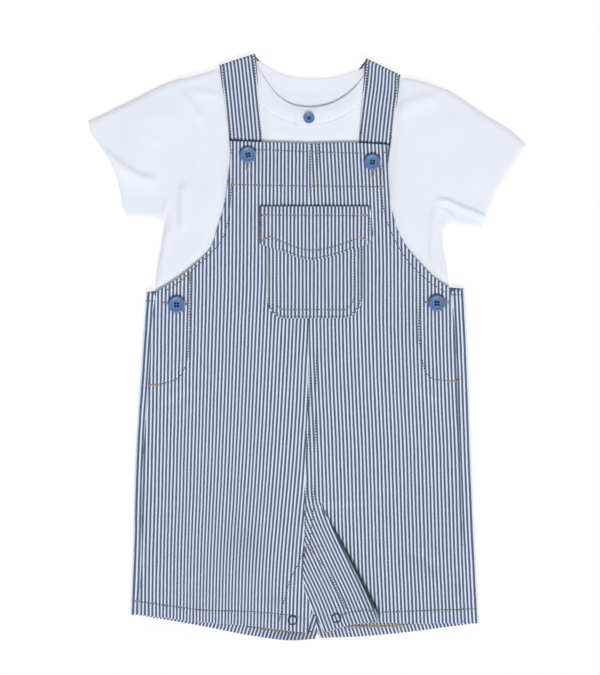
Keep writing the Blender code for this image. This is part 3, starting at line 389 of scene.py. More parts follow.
@dataclass(frozen=True)
class Layers:
    """Heights of the middle surfaces, from the floor up, as the CAD stacks them."""

    cloth: float = 1.2
    jersey: float = 1.0
    patch: float = 1.0
    gap: float = 0.3
    air: float = 0.4
    front: float = 5.1

    @property
    def back(self) -> float:
        """Middle of the dungaree back on the floor."""
        return self.cloth / 2

    @property
    def strap(self) -> float:
        """Middle of the straps and laps, on the T-shirt's front."""
        return self.cloth + self.gap + 2 * self.jersey + self.air + self.gap + self.cloth / 2

    @property
    def turn(self) -> float:
        """Radius of the turn from the back round to the front."""
        return (self.strap - self.back) / 2

    def tee_lift(self, x: np.ndarray, y: np.ndarray) -> np.ndarray:
        """How far the T-shirt lies off the floor, on the straps and the dungaree back."""
        beside = 1.0 - smoothstep(np.abs(x - 2.0), 97.0, 142.0)
        below = 1.0 - smoothstep(y, 94.0, 139.0)
        return (self.cloth + self.gap) * np.maximum(beside, below)

    def tee_back(self, x: np.ndarray, y: np.ndarray) -> np.ndarray:
        """Middle of the T-shirt's lower wall."""
        return self.tee_lift(x, y) + self.jersey / 2

    def tee_clear(self, x: np.ndarray, y: np.ndarray) -> np.ndarray:
        """1 where nothing lies on the T-shirt's front, and a soft step to 0 at the dungarees' edges."""
        left, right = ARMHOLE[Side.LEFT][::-1], ARMHOLE[Side.RIGHT]
        skyline = np.array(left + BIB_TOP[Side.LEFT][1::-1] + BIB_TOP[Side.RIGHT][1:] + right[1:])
        above = y > np.interp(x, skyline[:, 0], skyline[:, 1])
        clear = above * smoothstep(nearest(skyline, x, y)[0], 0.5, 8.0)
        for side in Side:
            inner, outer = (evenly(STRAP_FRONT[side][edge], 12) for edge in ("inner", "outer"))
            clear = clear * smoothstep(nearest((inner + outer) / 2, x, y)[0], 16.0, 23.0)
        return clear

    def tee_front(self, x: np.ndarray, y: np.ndarray) -> np.ndarray:
        """Middle of the T-shirt's upper wall: a little air, soft swellings and creases where it lies free."""
        relief = 1.1 + sum(item.height(x, y) for item in TEE_PUFFS + TEE_CREASES)
        free = self.tee_clear(x, y) * self.tee_inside(x, y)
        return self.tee_back(x, y) + self.jersey + self.air + np.maximum(relief, 0.0) * free

    def tee_inside(self, x: np.ndarray, y: np.ndarray) -> np.ndarray:
        """A soft step from 0 at the T-shirt's outer edges to 1 a little inside them."""
        inside = np.ones(np.shape(x))
        for side in Side:
            sleeve = SLEEVE_UNDER[side] + SLEEVE_CUFF[side] + SLEEVE_TOP[side][::-1] + TEE_SHOULDER[side]
            outline = np.array(TEE_SIDE[side] + sleeve, float)
            inside = inside * smoothstep(nearest(outline, x, y)[0], -0.6, 2.4)
        for neck in (NECK_EDGE_FRONT, NECK_EDGE_BACK):
            inside = inside * (0.35 + 0.65 * smoothstep(nearest(np.array(neck), x, y)[0], -3.0, 9.0))
        return inside

    def lap(self, y: np.ndarray) -> np.ndarray:
        """Width of the back's lap under the front: a seam, and wider at the side opening."""
        return 4.0 + 22.0 * smoothstep(y, OPENING_END_Y - 16.0, OPENING_END_Y)

    def front_mid(self, x: np.ndarray, y: np.ndarray) -> np.ndarray:
        """Middle of the dungaree front, raised over the laps and strap ends, with soft swells."""
        low = np.minimum(y, WAIST_Y)
        left = x - x_at(FRONT_SIDE[Side.LEFT], low)
        right = x_at(FRONT_SIDE[Side.RIGHT], low) - x
        over_lap = 1.0 - smoothstep(np.minimum(left, right) - self.lap(low), 3.0, 17.0)
        over_strap = smoothstep(y, 126.0, 147.0)
        rise = self.strap + self.cloth + self.gap - self.front
        swell = sum(item.height(x, y) for item in FRONT_SWELLS + FRONT_CREASES)
        return self.front + rise * np.maximum(over_lap, over_strap) + swell

    def pocket(self, x: np.ndarray, y: np.ndarray) -> np.ndarray:
        """Middle of the patch pocket."""
        return self.front_mid(x, y) + self.cloth / 2 + self.gap + self.patch / 2

    def flap(self, x: np.ndarray, y: np.ndarray) -> np.ndarray:
        """Middle of the flap: on the pocket, and stepped down beyond its edges."""
        past = np.maximum(np.maximum(POCKET_LEFT_X - x, x - POCKET_RIGHT_X), y - POCKET_TOP_Y)
        return self.pocket(x, y) + (self.patch + self.gap) * (1.0 - smoothstep(past, 1.6, 6.4))


LAYERS = Layers()


@dataclass(frozen=True)
class Pleat:
    """The pleat in the right leg: a fold that opens towards the hem."""

    edge: Table = field(
        default_factory=lambda: [(11.7, -141), (36, -188), (62, -238), (63.4, -247)])
    turn_from: float = -141.0
    turn_to: float = -156.0
    depth: float = 12.0
    radius: float = 0.75
    dip: float = 45.0

    def edge_x(self, y: np.ndarray) -> np.ndarray:
        """x of the fold's edge at a height."""
        line = np.array(self.edge)[::-1]
        return np.interp(y, line[:, 1], line[:, 0])

    def bend(self, y: np.ndarray) -> np.ndarray:
        """How far the cloth turns over, from none to half a turn."""
        return math.pi * smoothstep(y, self.turn_from, self.turn_to)

    def tuck(self, y: np.ndarray) -> np.ndarray:
        """Width of the tucked layer."""
        return 0.6 + (self.depth - 0.6) * np.clip((self.turn_to - y) / 88.0, 0.0, 1.0)

    def arc_radius(self, y: float) -> float:
        """Radius of the two turns, kept so that the fold never drops more than two wall turns."""
        bend, tuck = float(self.bend(y)), float(self.tuck(y))
        wide = self.radius * math.pi / max(bend, 1e-3)
        if bend <= 0.01:
            return wide
        limit = (4 * self.radius - tuck * math.sin(bend)) / (2 * (1 - math.cos(bend)))
        return min(wide, max(limit, self.radius))

    def drop(self, x: np.ndarray, y: np.ndarray) -> np.ndarray:
        """How far the leg's cloth lies below the flap beyond the fold."""
        full = 4 * self.radius * smoothstep(y, self.turn_from, self.turn_to)
        edge = self.edge_x(y)
        back_up = smoothstep((x - edge) / self.dip, 1.0 / self.dip, 1.0)
        return np.where((x > edge) & (y < self.turn_from), full * (1.0 - back_up), 0.0)


PLEAT = Pleat()


# Meshes

EDGE_SWELL = 0.32


def normals_of(grid: np.ndarray, ring: bool) -> np.ndarray:
    """Unit normals of a grid: the cross product of its differences along rows and columns."""
    around = np.roll(grid, -1, axis=1) - np.roll(grid, 1, axis=1) if ring else np.gradient(grid, axis=1)
    return unit(np.cross(around, np.gradient(grid, axis=0)))


def new_mesh(name: str, points: np.ndarray, faces: np.ndarray | list, material: bpy.types.Material,
             grain: np.ndarray | None = None) -> bpy.types.Object:
    """A smooth object from points in plan millimetres.

    Args:
        name: the object's name.
        points: vertices.
        faces: index rows, all of one length or as a list.
        material: its finish.
        grain: cloth coordinates of each vertex, (across, along, share of painted shade and darker tone), in
            millimetres.

    Returns:
        The new object, at the origin, with its place in its mesh.
    """
    mesh = bpy.data.meshes.new(name)
    rows = faces.tolist() if isinstance(faces, np.ndarray) else faces
    mesh.from_pydata(((points + ORIGIN_SHIFT) * MM).tolist(), [], rows)
    mesh.polygons.foreach_set("use_smooth", np.ones(len(mesh.polygons), bool))
    if grain is not None:
        store = mesh.attributes.new("grain", "FLOAT_VECTOR", "POINT")
        store.data.foreach_set("vector", np.ascontiguousarray(grain, np.float32).ravel())
    mesh.materials.append(material)
    mesh.update()
    made = bpy.data.objects.new(name, mesh)
    bpy.context.scene.collection.objects.link(made)
    return made


def strip_faces(first: np.ndarray, second: np.ndarray) -> np.ndarray:
    """Quads between two closed loops of vertex numbers."""
    return np.column_stack([first, second, np.roll(second, -1), np.roll(first, -1)])


def guarded(sheet: np.ndarray, axis: int, inset: float = 0.3) -> np.ndarray:
    """A grid with one more line just inside its first and last, so that its shading stays flat at the edge.

    Args:
        sheet: grid whose first three values are a place.
        axis: 0 to guard the rows, 1 to guard the columns.
        inset: how far the new lines lie from the edge.

    Returns:
        The grid with two more lines.
    """
    lines = np.moveaxis(sheet, axis, 0)
    guards = []
    for edge, inner in ((lines[0], lines[1]), (lines[-1], lines[-2])):
        width = np.linalg.norm(inner[:, :3] - edge[:, :3], axis=1, keepdims=True)
        share = np.minimum(inset / np.maximum(width, 1e-6), 0.5)
        guards.append((edge + share * (inner - edge))[None])
    made = np.concatenate([lines[:1], guards[0], lines[1:-1], guards[1], lines[-1:]])
    return np.moveaxis(made, 0, axis)


def cloth_wall(name: str, grid: np.ndarray, thickness: float, grain: np.ndarray, material: bpy.types.Material,
               extra: np.ndarray | float = 0.0, ring: bool = False, turned: bool = False) -> bpy.types.Object:
    """A cloth wall with soft round edges: both sides offset from the middle surface along its normals.

    Args:
        name: the object's name.
        grid: middle surface [row, column, xyz].
        thickness: wall.
        grain: cloth coordinates of each grid point.
        material: its finish.
        extra: relief added to the upper side.
        ring: whether the columns close on themselves.
        turned: whether the columns run the other way, so that the grid faces down.

    Returns:
        The closed object.
    """
    lift = np.broadcast_to(np.asarray(extra, float), grid.shape[:2])[..., None]
    if turned:
        grid, grain, lift = grid[:, ::-1], grain[:, ::-1], lift[:, ::-1]
    sheet = guarded(np.concatenate([grid, grain, lift], axis=2), 0)
    if not ring:
        sheet = guarded(sheet, 1)
    grid, grain, lift = sheet[..., :3], sheet[..., 3:6], sheet[..., 6:]
    rows, columns = grid.shape[:2]
    normals = normals_of(grid, ring)
    upper = (grid + normals * (thickness / 2 + lift)).reshape(-1, 3)
    lower = (grid - normals * thickness / 2).reshape(-1, 3)
    count = rows * columns
    number = np.arange(count).reshape(rows, columns)
    wide = np.concatenate([number, number[:, :1]], axis=1) if ring else number
    quads = np.stack([wide[:-1, :-1], wide[:-1, 1:], wide[1:, 1:], wide[1:, :-1]], axis=-1).reshape(-1, 4)
    if ring:
        loops = [number[0], number[-1][::-1]]
    else:
        loops = [np.concatenate([number[0, :-1], number[:-1, -1], number[-1, :0:-1], number[:0:-1, 0]])]
    centre = (upper + lower) / 2
    points, faces = [upper, lower], [quads, quads[:, ::-1] + count]
    shades = [grain.reshape(-1, 3)] * 2
    start = 2 * count
    for loop in loops:
        edge = centre[loop]
        tangent = np.roll(edge, -1, axis=0) - np.roll(edge, 1, axis=0)
        points.append(edge + unit(np.cross(tangent, upper[loop] - lower[loop])) * thickness * EDGE_SWELL)
        shades.append(grain.reshape(-1, 3)[loop])
        middle = np.arange(start, start + len(loop))
        faces += [strip_faces(loop, middle), strip_faces(middle, loop + count)]
        start += len(loop)
    return new_mesh(name, np.concatenate(points), np.concatenate(faces), material, np.concatenate(shades))


def tube_rings(rings: np.ndarray, closed: bool) -> tuple[np.ndarray, list]:
    """Points and faces of a tube through rings [station, point, xyz], capped unless it closes on itself."""
    stations, sides = rings.shape[:2]
    number = np.arange(stations * sides).reshape(stations, sides)
    along = np.concatenate([number, number[:1]]) if closed else number
    first, second = along[:-1], along[1:]
    quads = np.stack([first, np.roll(first, -1, axis=1), np.roll(second, -1, axis=1), second], axis=-1)
    faces = quads.reshape(-1, 4).tolist()
    if not closed:
        faces += [number[0][::-1].tolist(), number[-1].tolist()]
    return rings.reshape(-1, 3), faces


def merged(parts: list[tuple[np.ndarray, list]]) -> tuple[np.ndarray, list]:
    """Points and faces of several parts as one."""
    faces, start = [], 0
    for points, own in parts:
        faces += [[corner + start for corner in face] for face in own]
        start += len(points)
    return np.concatenate([points for points, _ in parts]), faces


def half_turn(high: np.ndarray, low: np.ndarray, away: np.ndarray) -> np.ndarray:
    """Half circle of cloth from an upper line round to a lower one: a sine outward, a cosine down.

    Args:
        high: upper line [point, xyz].
        low: lower line, with as many points.
        away: outward unit vectors in plan, one for all points or one for each.

    Returns:
        Grid [point, step, xyz] of the steps between the lines.
    """
    angle = math.pi * np.arange(1, 6) / 6
    middle, reach = (high[:, 2:] + low[:, 2:]) / 2, (high[:, 2:] - low[:, 2:]) / 2
    out = high[:, None, :2] + np.atleast_2d(away)[:, None] * (reach * np.sin(angle))[..., None]
    return np.dstack([out, middle + reach * np.cos(angle)])


# Finishes


def feed(node: bpy.types.Node, **values: object) -> None:
    """Sets a node's inputs by their names, with _ for a space."""
    for name, value in values.items():
        node.inputs[name.replace("_", " ")].default_value = value


class Shader:
    """A small helper that adds nodes to a new Principled material."""

    def __init__(self, name: str, roughness: float, metallic: float = 0.0) -> None:
        """Starts a material with its own Principled shader."""
        self.material = bpy.data.materials.new(name)
        self.material.use_nodes = True
        self.tree = self.material.node_tree
        self.surface = self.tree.nodes["Principled BSDF"]
        feed(self.surface, Roughness=roughness, Metallic=metallic)

    def node(self, kind: str, **values: object) -> bpy.types.Node:
        """A node with its settings."""
        made = self.tree.nodes.new(kind)
        for key, value in values.items():
            setattr(made, key, value)
        return made

    def link(self, source: bpy.types.NodeSocket, target: bpy.types.NodeSocket) -> None:
        """Joins two sockets."""
        self.tree.links.new(source, target)

    def math(self, operation: str, *inputs: float | bpy.types.NodeSocket) -> bpy.types.NodeSocket:
        """A maths node on numbers or sockets."""
        made = self.node("ShaderNodeMath", operation=operation)
        for socket, value in zip(made.inputs, inputs):
            if isinstance(value, bpy.types.NodeSocket):
                self.link(value, socket)
            else:
                socket.default_value = value
        return made.outputs[0]

    def mix(self, share: float | bpy.types.NodeSocket, first: object, second: object) -> bpy.types.NodeSocket:
        """A colour between two colours or sockets."""
        made = self.node("ShaderNodeMix", data_type="RGBA")
        for socket, value in zip((made.inputs[0], made.inputs[6], made.inputs[7]), (share, first, second)):
            if isinstance(value, bpy.types.NodeSocket):
                self.link(value, socket)
            else:
                socket.default_value = value if isinstance(value, float) else (*value, 1.0)
        return made.outputs[2]

    def grain(self) -> tuple[bpy.types.NodeSocket, bpy.types.NodeSocket, bpy.types.NodeSocket]:
        """The piece's own cloth coordinates: across, along, and the share of painted shade and darker tone."""
        source = self.node("ShaderNodeAttribute", attribute_name="grain")
        split = self.node("ShaderNodeSeparateXYZ")
        self.link(source.outputs["Vector"], split.inputs[0])
        return split.outputs[0], split.outputs[1], split.outputs[2]

    def noise(self, across: float, along: float, detail: float = 2.0) -> bpy.types.NodeSocket:
        """Noise over the cloth's own coordinates, each scaled by its own number."""
        place = self.node("ShaderNodeCombineXYZ")
        for socket, source, scale in zip(place.inputs, self.grain(), (across, along)):
            self.link(self.math("MULTIPLY", source, scale), socket)
        made = self.node("ShaderNodeTexNoise")
        feed(made, Scale=1.0, Detail=detail)
        self.link(place.outputs[0], made.inputs["Vector"])
        return made.outputs["Fac"]

    def bump(self, height: bpy.types.NodeSocket, strength: float, distance: float) -> None:
        """Bump from a height that runs from 0 to 1."""
        made = self.node("ShaderNodeBump")
        feed(made, Strength=strength, Distance=distance)
        self.link(height, made.inputs["Height"])
        self.link(made.outputs[0], self.surface.inputs["Normal"])


@dataclass(frozen=True)
class StripedCotton:
    """Yarn-dyed cotton twill with narrow blue and white stripes along the warp."""

    pitch: float = 3.33
    light: tuple = (0.775, 0.85, 1.0)
    dark: tuple = (0.038, 0.062, 0.14)
    # Near-black that painted shade, and a darker tone in places, mix into the stripes.
    shade_black: tuple = (0.004, 0.006, 0.012)
    cut_from: float = 0.175
    cut_to: float = 0.255
    twill: float = 0.95
    fleck: float = 0.13
    shade: float = 0.12

    def material(self) -> bpy.types.Material:
        """Stripe: a triangle wave across the cloth, cut softly at its middle, with flecks of the twill."""
        shader = Shader("striped_cotton_cloth", 0.88)
        across, along, shade_and_tone = shader.grain()
        wander = shader.math("MULTIPLY", shader.math("SUBTRACT", shader.noise(0.11, 0.025), 0.5), 0.9)
        frayed = shader.math("MULTIPLY", shader.math("SUBTRACT", shader.noise(1.6, 1.1, 3.0), 0.5), 0.55)
        place = shader.math("ADD", shader.math("ADD", across, wander), frayed)
        phase = shader.math("FRACT", shader.math("DIVIDE", place, self.pitch))
        wave = shader.math("ABSOLUTE", shader.math("SUBTRACT", phase, 0.5))
        cut = shader.node("ShaderNodeMapRange", interpolation_type="SMOOTHSTEP")
        feed(cut, From_Min=self.cut_from, From_Max=self.cut_to)
        shader.link(wave, cut.inputs["Value"])
        diagonal = shader.math("ADD", across, shader.math("MULTIPLY", along, 1.6))
        rib = shader.math("SINE", shader.math("MULTIPLY", diagonal, 2 * math.pi / self.twill))
        rib = shader.math("MULTIPLY_ADD", rib, 0.5, 0.5)
        yarn = shader.noise(2.4, 0.22, 3.0)
        fleck = shader.math("MULTIPLY", shader.math("MULTIPLY", rib, yarn), 2 * self.fleck)
        blue = shader.mix(fleck, self.dark, self.light)
        pale = shader.mix(shader.math("MULTIPLY", yarn, self.shade), self.light, self.dark)
        cloth = shader.mix(cut.outputs[0], pale, blue)
        # Painted shade, and a darker tone in places, mixed in as a share of near-black taken from the grain's
        # third value.
        shader.link(shader.mix(shade_and_tone, cloth, self.shade_black), shader.surface.inputs["Base Color"])
        shader.bump(shader.math("MULTIPLY_ADD", yarn, 0.6, shader.math("MULTIPLY", rib, 0.4)), 0.35, 0.00022)
        return shader.material


@dataclass(frozen=True)
class WhiteJersey:
    """Fine white cotton jersey, with ribs where it is a neckband."""

    colour: tuple = (0.795, 0.828, 0.905)
    wale: float = 0.95
    rib: float = 0.0

    def material(self) -> bpy.types.Material:
        """Knit: fine wales across the cloth, and ribs of a wider pitch on the neckband."""
        shader = Shader("ribbed_jersey_cloth" if self.rib else "white_jersey_cloth", 0.92)
        across, along, _ = shader.grain()
        wales = shader.math("SINE", shader.math("MULTIPLY", across, 2 * math.pi / self.wale))
        loops = shader.math("SINE", shader.math("MULTIPLY", along, 2 * math.pi / (self.wale * 0.8)))
        knit = shader.math("MULTIPLY_ADD", shader.math("MULTIPLY", wales, loops), 0.25, 0.5)
        if self.rib:
            rib = shader.math("SINE", shader.math("MULTIPLY", across, 2 * math.pi / self.rib))
            knit = shader.math("MULTIPLY_ADD", rib, 0.4, knit)
        shade = tuple(channel * 0.965 for channel in self.colour)
        soft = shader.mix(shader.noise(0.09, 0.07), self.colour, shade)
        shader.link(soft, shader.surface.inputs["Base Color"])
        feed(shader.surface, Sheen_Weight=0.08)
        shader.bump(knit, 0.25, 0.00018)
        return shader.material


@dataclass(frozen=True)
class PlainFinish:
    """One colour with slight mottling, for thread, buttons, metal and painted shade."""

    name: str
    colour: tuple
    roughness: float
    metallic: float = 0.0
    mottle: float = 0.12
    scale: float = 900.0

    def material(self) -> bpy.types.Material:
        """The colour, darkened in soft patches by noise over the piece."""
        shader = Shader(self.name, self.roughness, self.metallic)
        place = shader.node("ShaderNodeTexCoord")
        noise = shader.node("ShaderNodeTexNoise")
        feed(noise, Scale=self.scale)
        shader.link(place.outputs["Object"], noise.inputs["Vector"])
        dark = tuple(channel * (1.0 - 2.0 * self.mottle) for channel in self.colour)
        shader.link(shader.mix(noise.outputs["Fac"], self.colour, dark), shader.surface.inputs["Base Color"])
        return shader.material


class Finishes:
    """Every material of the set, made once."""

    def __init__(self) -> None:
        """Makes the cloths, the threads, the dark painted shade of the needle holes, the buttons' plastic and
        the press studs' enamel.
        """
        self.stripe = StripedCotton().material()
        self.jersey = WhiteJersey().material()
        self.ribbed = WhiteJersey(rib=1.9).material()
        self.tan = PlainFinish("tan_thread", (0.66, 0.50, 0.32), 0.65).material()
        self.orange = PlainFinish("orange_thread", (0.55, 0.38, 0.21), 0.7, mottle=0.3).material()
        self.worked = PlainFinish("buttonhole_thread", (0.46, 0.36, 0.26), 0.75, mottle=0.3).material()
        self.edging = PlainFinish("edging_thread", (0.74, 0.57, 0.42), 0.7, mottle=0.2).material()
        # Near-black for the buttons' thread and for the painted shade of the needle holes and the buttons'
        # holes.
        self.navy = PlainFinish("navy_thread_and_shade", (0.006, 0.009, 0.018), 0.8).material()
        self.button = PlainFinish("blue_button_face", (0.105, 0.205, 0.44), 0.38, scale=260.0).material()
        self.enamel = PlainFinish("navy_enamel_ring", (0.016, 0.04, 0.14), 0.3, 0.2).material()


# Stitching

THREAD_BANK = 0.42
THREAD_LIFT = 0.05


@dataclass(frozen=True)
class Seam:
    """A run of stitches along a line on a surface."""

    line: Table
    surface: Height
    closed_curve: bool = True

    def path(self) -> np.ndarray:
        """The line as close points."""
        if len(self.line) == 2:
            return np.linspace(self.line[0], self.line[1], 12)
        return evenly(self.line, 60) if self.closed_curve else np.array(self.line, float)


@dataclass
class Stitching:
    """All machine stitches of one thread, as one mesh of short bowed threads."""

    name: str
    pitch: float = 2.55
    stitch: float = 1.95
    thread: float = 0.22
    hollow: float = 0.62
    sunk: float = 0.06
    bow: float = 0.3
    seams: list[Seam] = field(default_factory=list)

    def build(self, material: bpy.types.Material) -> bpy.types.Object:
        """Each stitch is five rings of thread, highest at its middle and sunk into the cloth at its ends."""
        stations, sides = 5, 5
        rings = []
        for seam in self.seams:
            path = seam.path()
            starts = np.arange((self.pitch - self.stitch) / 2, lengths(path)[-1] - self.stitch, self.pitch)
            share = np.linspace(0.0, 1.0, stations)
            x, y = along_line(path, starts[:, None] + self.stitch * share[None])
            heading = unit(np.stack([np.gradient(x, axis=1), np.gradient(y, axis=1)], axis=-1))
            bow = np.sin(math.pi * share)
            z = seam.surface(x, y) - self.sunk + self.bow * bow[None]
            radius = self.thread * (0.7 + 0.3 * bow)[None, :, None]
            side, up = radius * np.cos(circle(sides)), radius * np.sin(circle(sides))
            rings.append(np.stack([x[..., None] - heading[..., 1, None] * side,
                                   y[..., None] + heading[..., 0, None] * side, z[..., None] + up], axis=-1))
        rings = np.concatenate(rings)
        number = np.arange(rings[..., 0].size).reshape(rings.shape[:3])
        first, second = number[:, :-1], number[:, 1:]
        quads = np.stack([first, np.roll(first, -1, axis=2), np.roll(second, -1, axis=2), second], axis=-1)
        caps = np.concatenate([number[:, 0, ::-1], number[:, -1]])
        faces = quads.reshape(-1, 4).tolist() + caps.tolist()
        return new_mesh(self.name, rings.reshape(-1, 3), faces, material)

    def needle_hole_shadows(self, material: bpy.types.Material) -> bpy.types.Object:
        """Painted shadow in the hollows where the needle went in: a low six-sided cone between each two
        stitches.
        """
        angle = circle(6)
        places = []
        for seam in self.seams:
            path = seam.path()
            x, y = along_line(path, np.arange(0.0, lengths(path)[-1], self.pitch))
            places.append(np.column_stack([x, y, seam.surface(x, y)]))
        middle = np.concatenate(places)
        rim = middle[:, None] + np.column_stack([np.cos(angle), np.sin(angle), 0 * angle]) * self.hollow
        rim[..., 2] += 0.2
        points = np.concatenate([rim, middle[:, None] + [0.0, 0.0, 0.3]], axis=1)
        first = 7 * np.arange(len(middle))[:, None]
        corner = np.arange(6)[None]
        faces = np.stack([first + corner, first + (corner + 1) % 6, first + 6 + 0 * corner], axis=-1)
        return new_mesh(f"{self.name}_needle_hole_shadows", points.reshape(-1, 3), faces.reshape(-1, 3), material)


@dataclass(frozen=True)
class Bar:
    """The place of a short bar of close stitches, or of a buttonhole."""

    x: float
    y: float
    length: float
    angle: float
    surface: Height

    def turned(self, along: np.ndarray, away: np.ndarray) -> tuple[np.ndarray, np.ndarray]:
        """x and y of places along the bar and away from its middle line: a plain rotation."""
        cos, sin = math.cos(math.radians(self.angle)), math.sin(math.radians(self.angle))
        return self.x + along * cos - away * sin, self.y + along * sin + away * cos


@dataclass
class BarTacks:
    """All bar tacks as one mesh: domed bars with a ridge for each stitch."""

    name: str
    tacks: list[Bar]
    width: float = 1.5
    ridges: int = 9

    def build(self, material: bpy.types.Material) -> bpy.types.Object:
        """Each bar is a tube whose half-round section swells and narrows with its stitches."""
        stations, angle = 41, circle(8)
        parts = []
        for tack in self.tacks:
            along = np.linspace(-0.5, 0.5, stations) * tack.length
            ridge = 1.0 + 0.22 * np.cos(2 * math.pi * along * self.ridges / tack.length)
            size = np.sqrt(np.clip(1.0 - (2 * along / tack.length) ** 8, 0.02, 1.0)) * ridge
            x, y = tack.turned(along[:, None], (self.width / 2 * size)[:, None] * np.cos(angle))
            z = tack.surface(x, y) + (THREAD_BANK * size)[:, None] * np.sin(angle) + THREAD_LIFT
            parts.append(tube_rings(np.stack([x, y, z], axis=-1), closed=False))
        return new_mesh(self.name, *merged(parts), material)


@dataclass
class Buttonholes:
    """All buttonholes as one mesh: rings of close stitches round their slits."""

    name: str
    holes: list[Bar]
    band: float = 0.95
    slit: float = 0.85

    def build(self, material: bpy.types.Material) -> bpy.types.Object:
        """A tube round a long oval, swelling with each stitch."""
        parts = []
        turn, angle = circle(240), circle(7)
        for hole in self.holes:
            half = hole.length / 2
            along = half * np.sign(np.cos(turn)) * np.abs(np.cos(turn)) ** 0.45
            side = self.slit * np.sign(np.sin(turn)) * np.abs(np.sin(turn)) ** 0.45
            size = np.hypot(along / half, side / self.slit)
            ridge = 0.8 * self.band * (1.0 + 0.13 * np.cos(40 * turn)) / np.maximum(size, 0.5)
            x, y = hole.turned(along[:, None] + (np.cos(turn) * ridge)[:, None] * np.cos(angle),
                               side[:, None] + (np.sin(turn) * ridge)[:, None] * np.cos(angle))
            z = hole.surface(x, y) + THREAD_BANK * np.sin(angle) + THREAD_LIFT
            parts.append(tube_rings(np.stack([x, y, z], axis=-1), closed=True))
        return new_mesh(self.name, *merged(parts), material)


# Dungarees


@dataclass(frozen=True)
class Lean:
    """How the stripes lean: sideways step for each step down the cloth, at heights from the top."""

    table: Table

    def shift(self, y: np.ndarray) -> np.ndarray:
        """Sideways shift of a stripe at a height: the lean summed down from the top."""
        heights = np.array([row[0] for row in self.table], float)
        leans = np.array([row[1] for row in self.table], float)
        fine = np.linspace(200.0, -280.0, 481)
        lean = np.interp(-fine, -heights, leans)
        return np.interp(-np.asarray(y, float), -fine, np.cumsum(lean))


LEFT_LEAN = Lean([(200, 0), (68, -0.01), (41, -0.05), (-31, -0.05), (-67, -0.06), (-103, -0.07),
                  (-139, -0.09), (-175, -0.09), (-211, -0.05), (-229, -0.03), (-280, -0.03)])
RIGHT_LEAN = Lean([(200, 0.05), (130, 0.05), (68, 0), (40, 0), (5, 0.03), (-31, 0.04), (-67, 0.05),
                   (-103, 0.03), (-175, 0.03), (-211, 0.05), (-280, 0.05)])
BACK_LEAN = Lean([(200, 0), (-35, 0), (-140, 0.16), (-240, 0.33), (-280, 0.33)])
PLEAT_LEAN = Lean([(200, 0), (-130, 0), (-150, 0.3), (-168, 0.43), (-215, 0.43), (-240, 0.32),
                   (-280.0, 0.3)])

HEM_DEPTH = 12.0
GROOVE = 0.24
PUCKER = 0.07
CENTRE_STITCH_NEAR = [(3.2, 181), (3.2, 60), (2.6, 22.5), (2.3, -47.7), (0.6, -92.7), (-0.3, -122.4),
                      (-1.2, -152.1), (-1.7, -174.6)]
CENTRE_STITCH_FAR = [(9.6, 181), (9.6, 60), (8.8, 22.5), (7.8, -47.7), (6.8, -108), (5.9, -140),
                     (2.8, -178.0)]
LEG_FACING = {Side.LEFT: [(-2.7, -184), (-9, -198), (-15.3, -210.6), (-18.9, -223.2), (-23.4, -239.4),
                          (-25.2, -247.6)],
              Side.RIGHT: [(1.8, -181), (7.2, -188), (16.2, -199.8), (24.3, -213.3), (30.6, -226.4),
                           (35.0, -236.7)]}
OPENING_FACING = {Side.LEFT: [(-104.9, 64), (-105.3, 40), (-106.2, 0.9), (-108.9, -17.1), (-116.1, -28.8),
                              (-127.8, -33.3), (-134, -34.6)],
                  Side.RIGHT: [(100.8, 66), (100.8, 40), (100.8, 5.4), (103.1, -9.9), (107.6, -24.8),
                               (112.5, -29.3), (121.5, -30.6), (128, -31.2)]}
ARMHOLE_STITCH = {Side.LEFT: [(-67.5, 176), (-67, 158), (-68.6, 134), (-70.2, 117.9), (-73, 104.4),
                              (-78.3, 92.7), (-90, 80.1), (-100.8, 70), (-117, 56), (-128, 48.8)],
                  Side.RIGHT: [(69.5, 174), (66.8, 158.4), (67.4, 137.7), (69.6, 119.7), (75.4, 103),
                               (85.5, 83.7), (97.5, 69), (110, 57.6), (123, 49)]}
FRONT_HEM_STITCH = {Side.LEFT: [(-150.4, -229.5), (-126, -233.1), (-109.8, -235.4), (-88.2, -237.6),
                                (-61.2, -238.2), (-23.4, -240.8), (-6, -243)],
                    Side.RIGHT: [(139, -236.6), (114.8, -237.4), (85, -238.6), (66.5, -239.4)]}
FRONT_STITCHES = (ARMHOLE_STITCH, OPENING_FACING, LEG_FACING, FRONT_HEM_STITCH)
FLAP_HEM_STITCH = [(30.6, -241.4), (40.1, -239), (48, -238), (59, -238)]
BACK_HEM_STITCH = {Side.LEFT: [(-52.2, -252.8), (-30, -256), (-10.8, -258.4), (4, -257)],
                   Side.RIGHT: [(18, -251.4), (41.4, -251.6), (79, -251.4), (99.9, -249), (128, -244.6),
                                (150.0, -240.6)]}


def front_boundary(side: Side, heights: np.ndarray) -> np.ndarray:
    """The centre boundary: inner leg edge below the part of the legs, centre seam above it."""
    seam = x_at(CENTRE_SEAM, heights) + side.sign * 0.12
    leg = x_at(FRONT_INNER[side], heights)
    return np.column_stack([np.where(heights < LEG_PART_Y, leg, seam), heights])


def front_plan(side: Side, rows: int, bib_cells: int, arm_cells: int) -> np.ndarray:
    """Plan grid of a front panel between centre, hem, side and armhole.

    Args:
        side: which front.
        rows: cells along the panel.
        bib_cells: cells along the bib top.
        arm_cells: cells along the armhole.

    Returns:
        Grid [row, column, xy], hem first.
    """
    heights = np.linspace(FRONT_INNER[side][0][1], BIB_TOP[side][0][1], rows + 1)
    inner = front_boundary(side, heights)
    outer = side_line(FRONT_SIDE[side], 400, np.linspace(0.0, 1.0, rows + 1))
    bib = evenly(BIB_TOP[side], bib_cells)
    bib[0] = inner[-1]
    top = chain(bib, evenly(ARMHOLE[side], arm_cells))
    hem = evenly(FRONT_HEM[side], len(top) - 1)
    hem[0], hem[-1], top[-1] = inner[0], outer[0], outer[-1]
    return coons(hem, top, inner, outer)


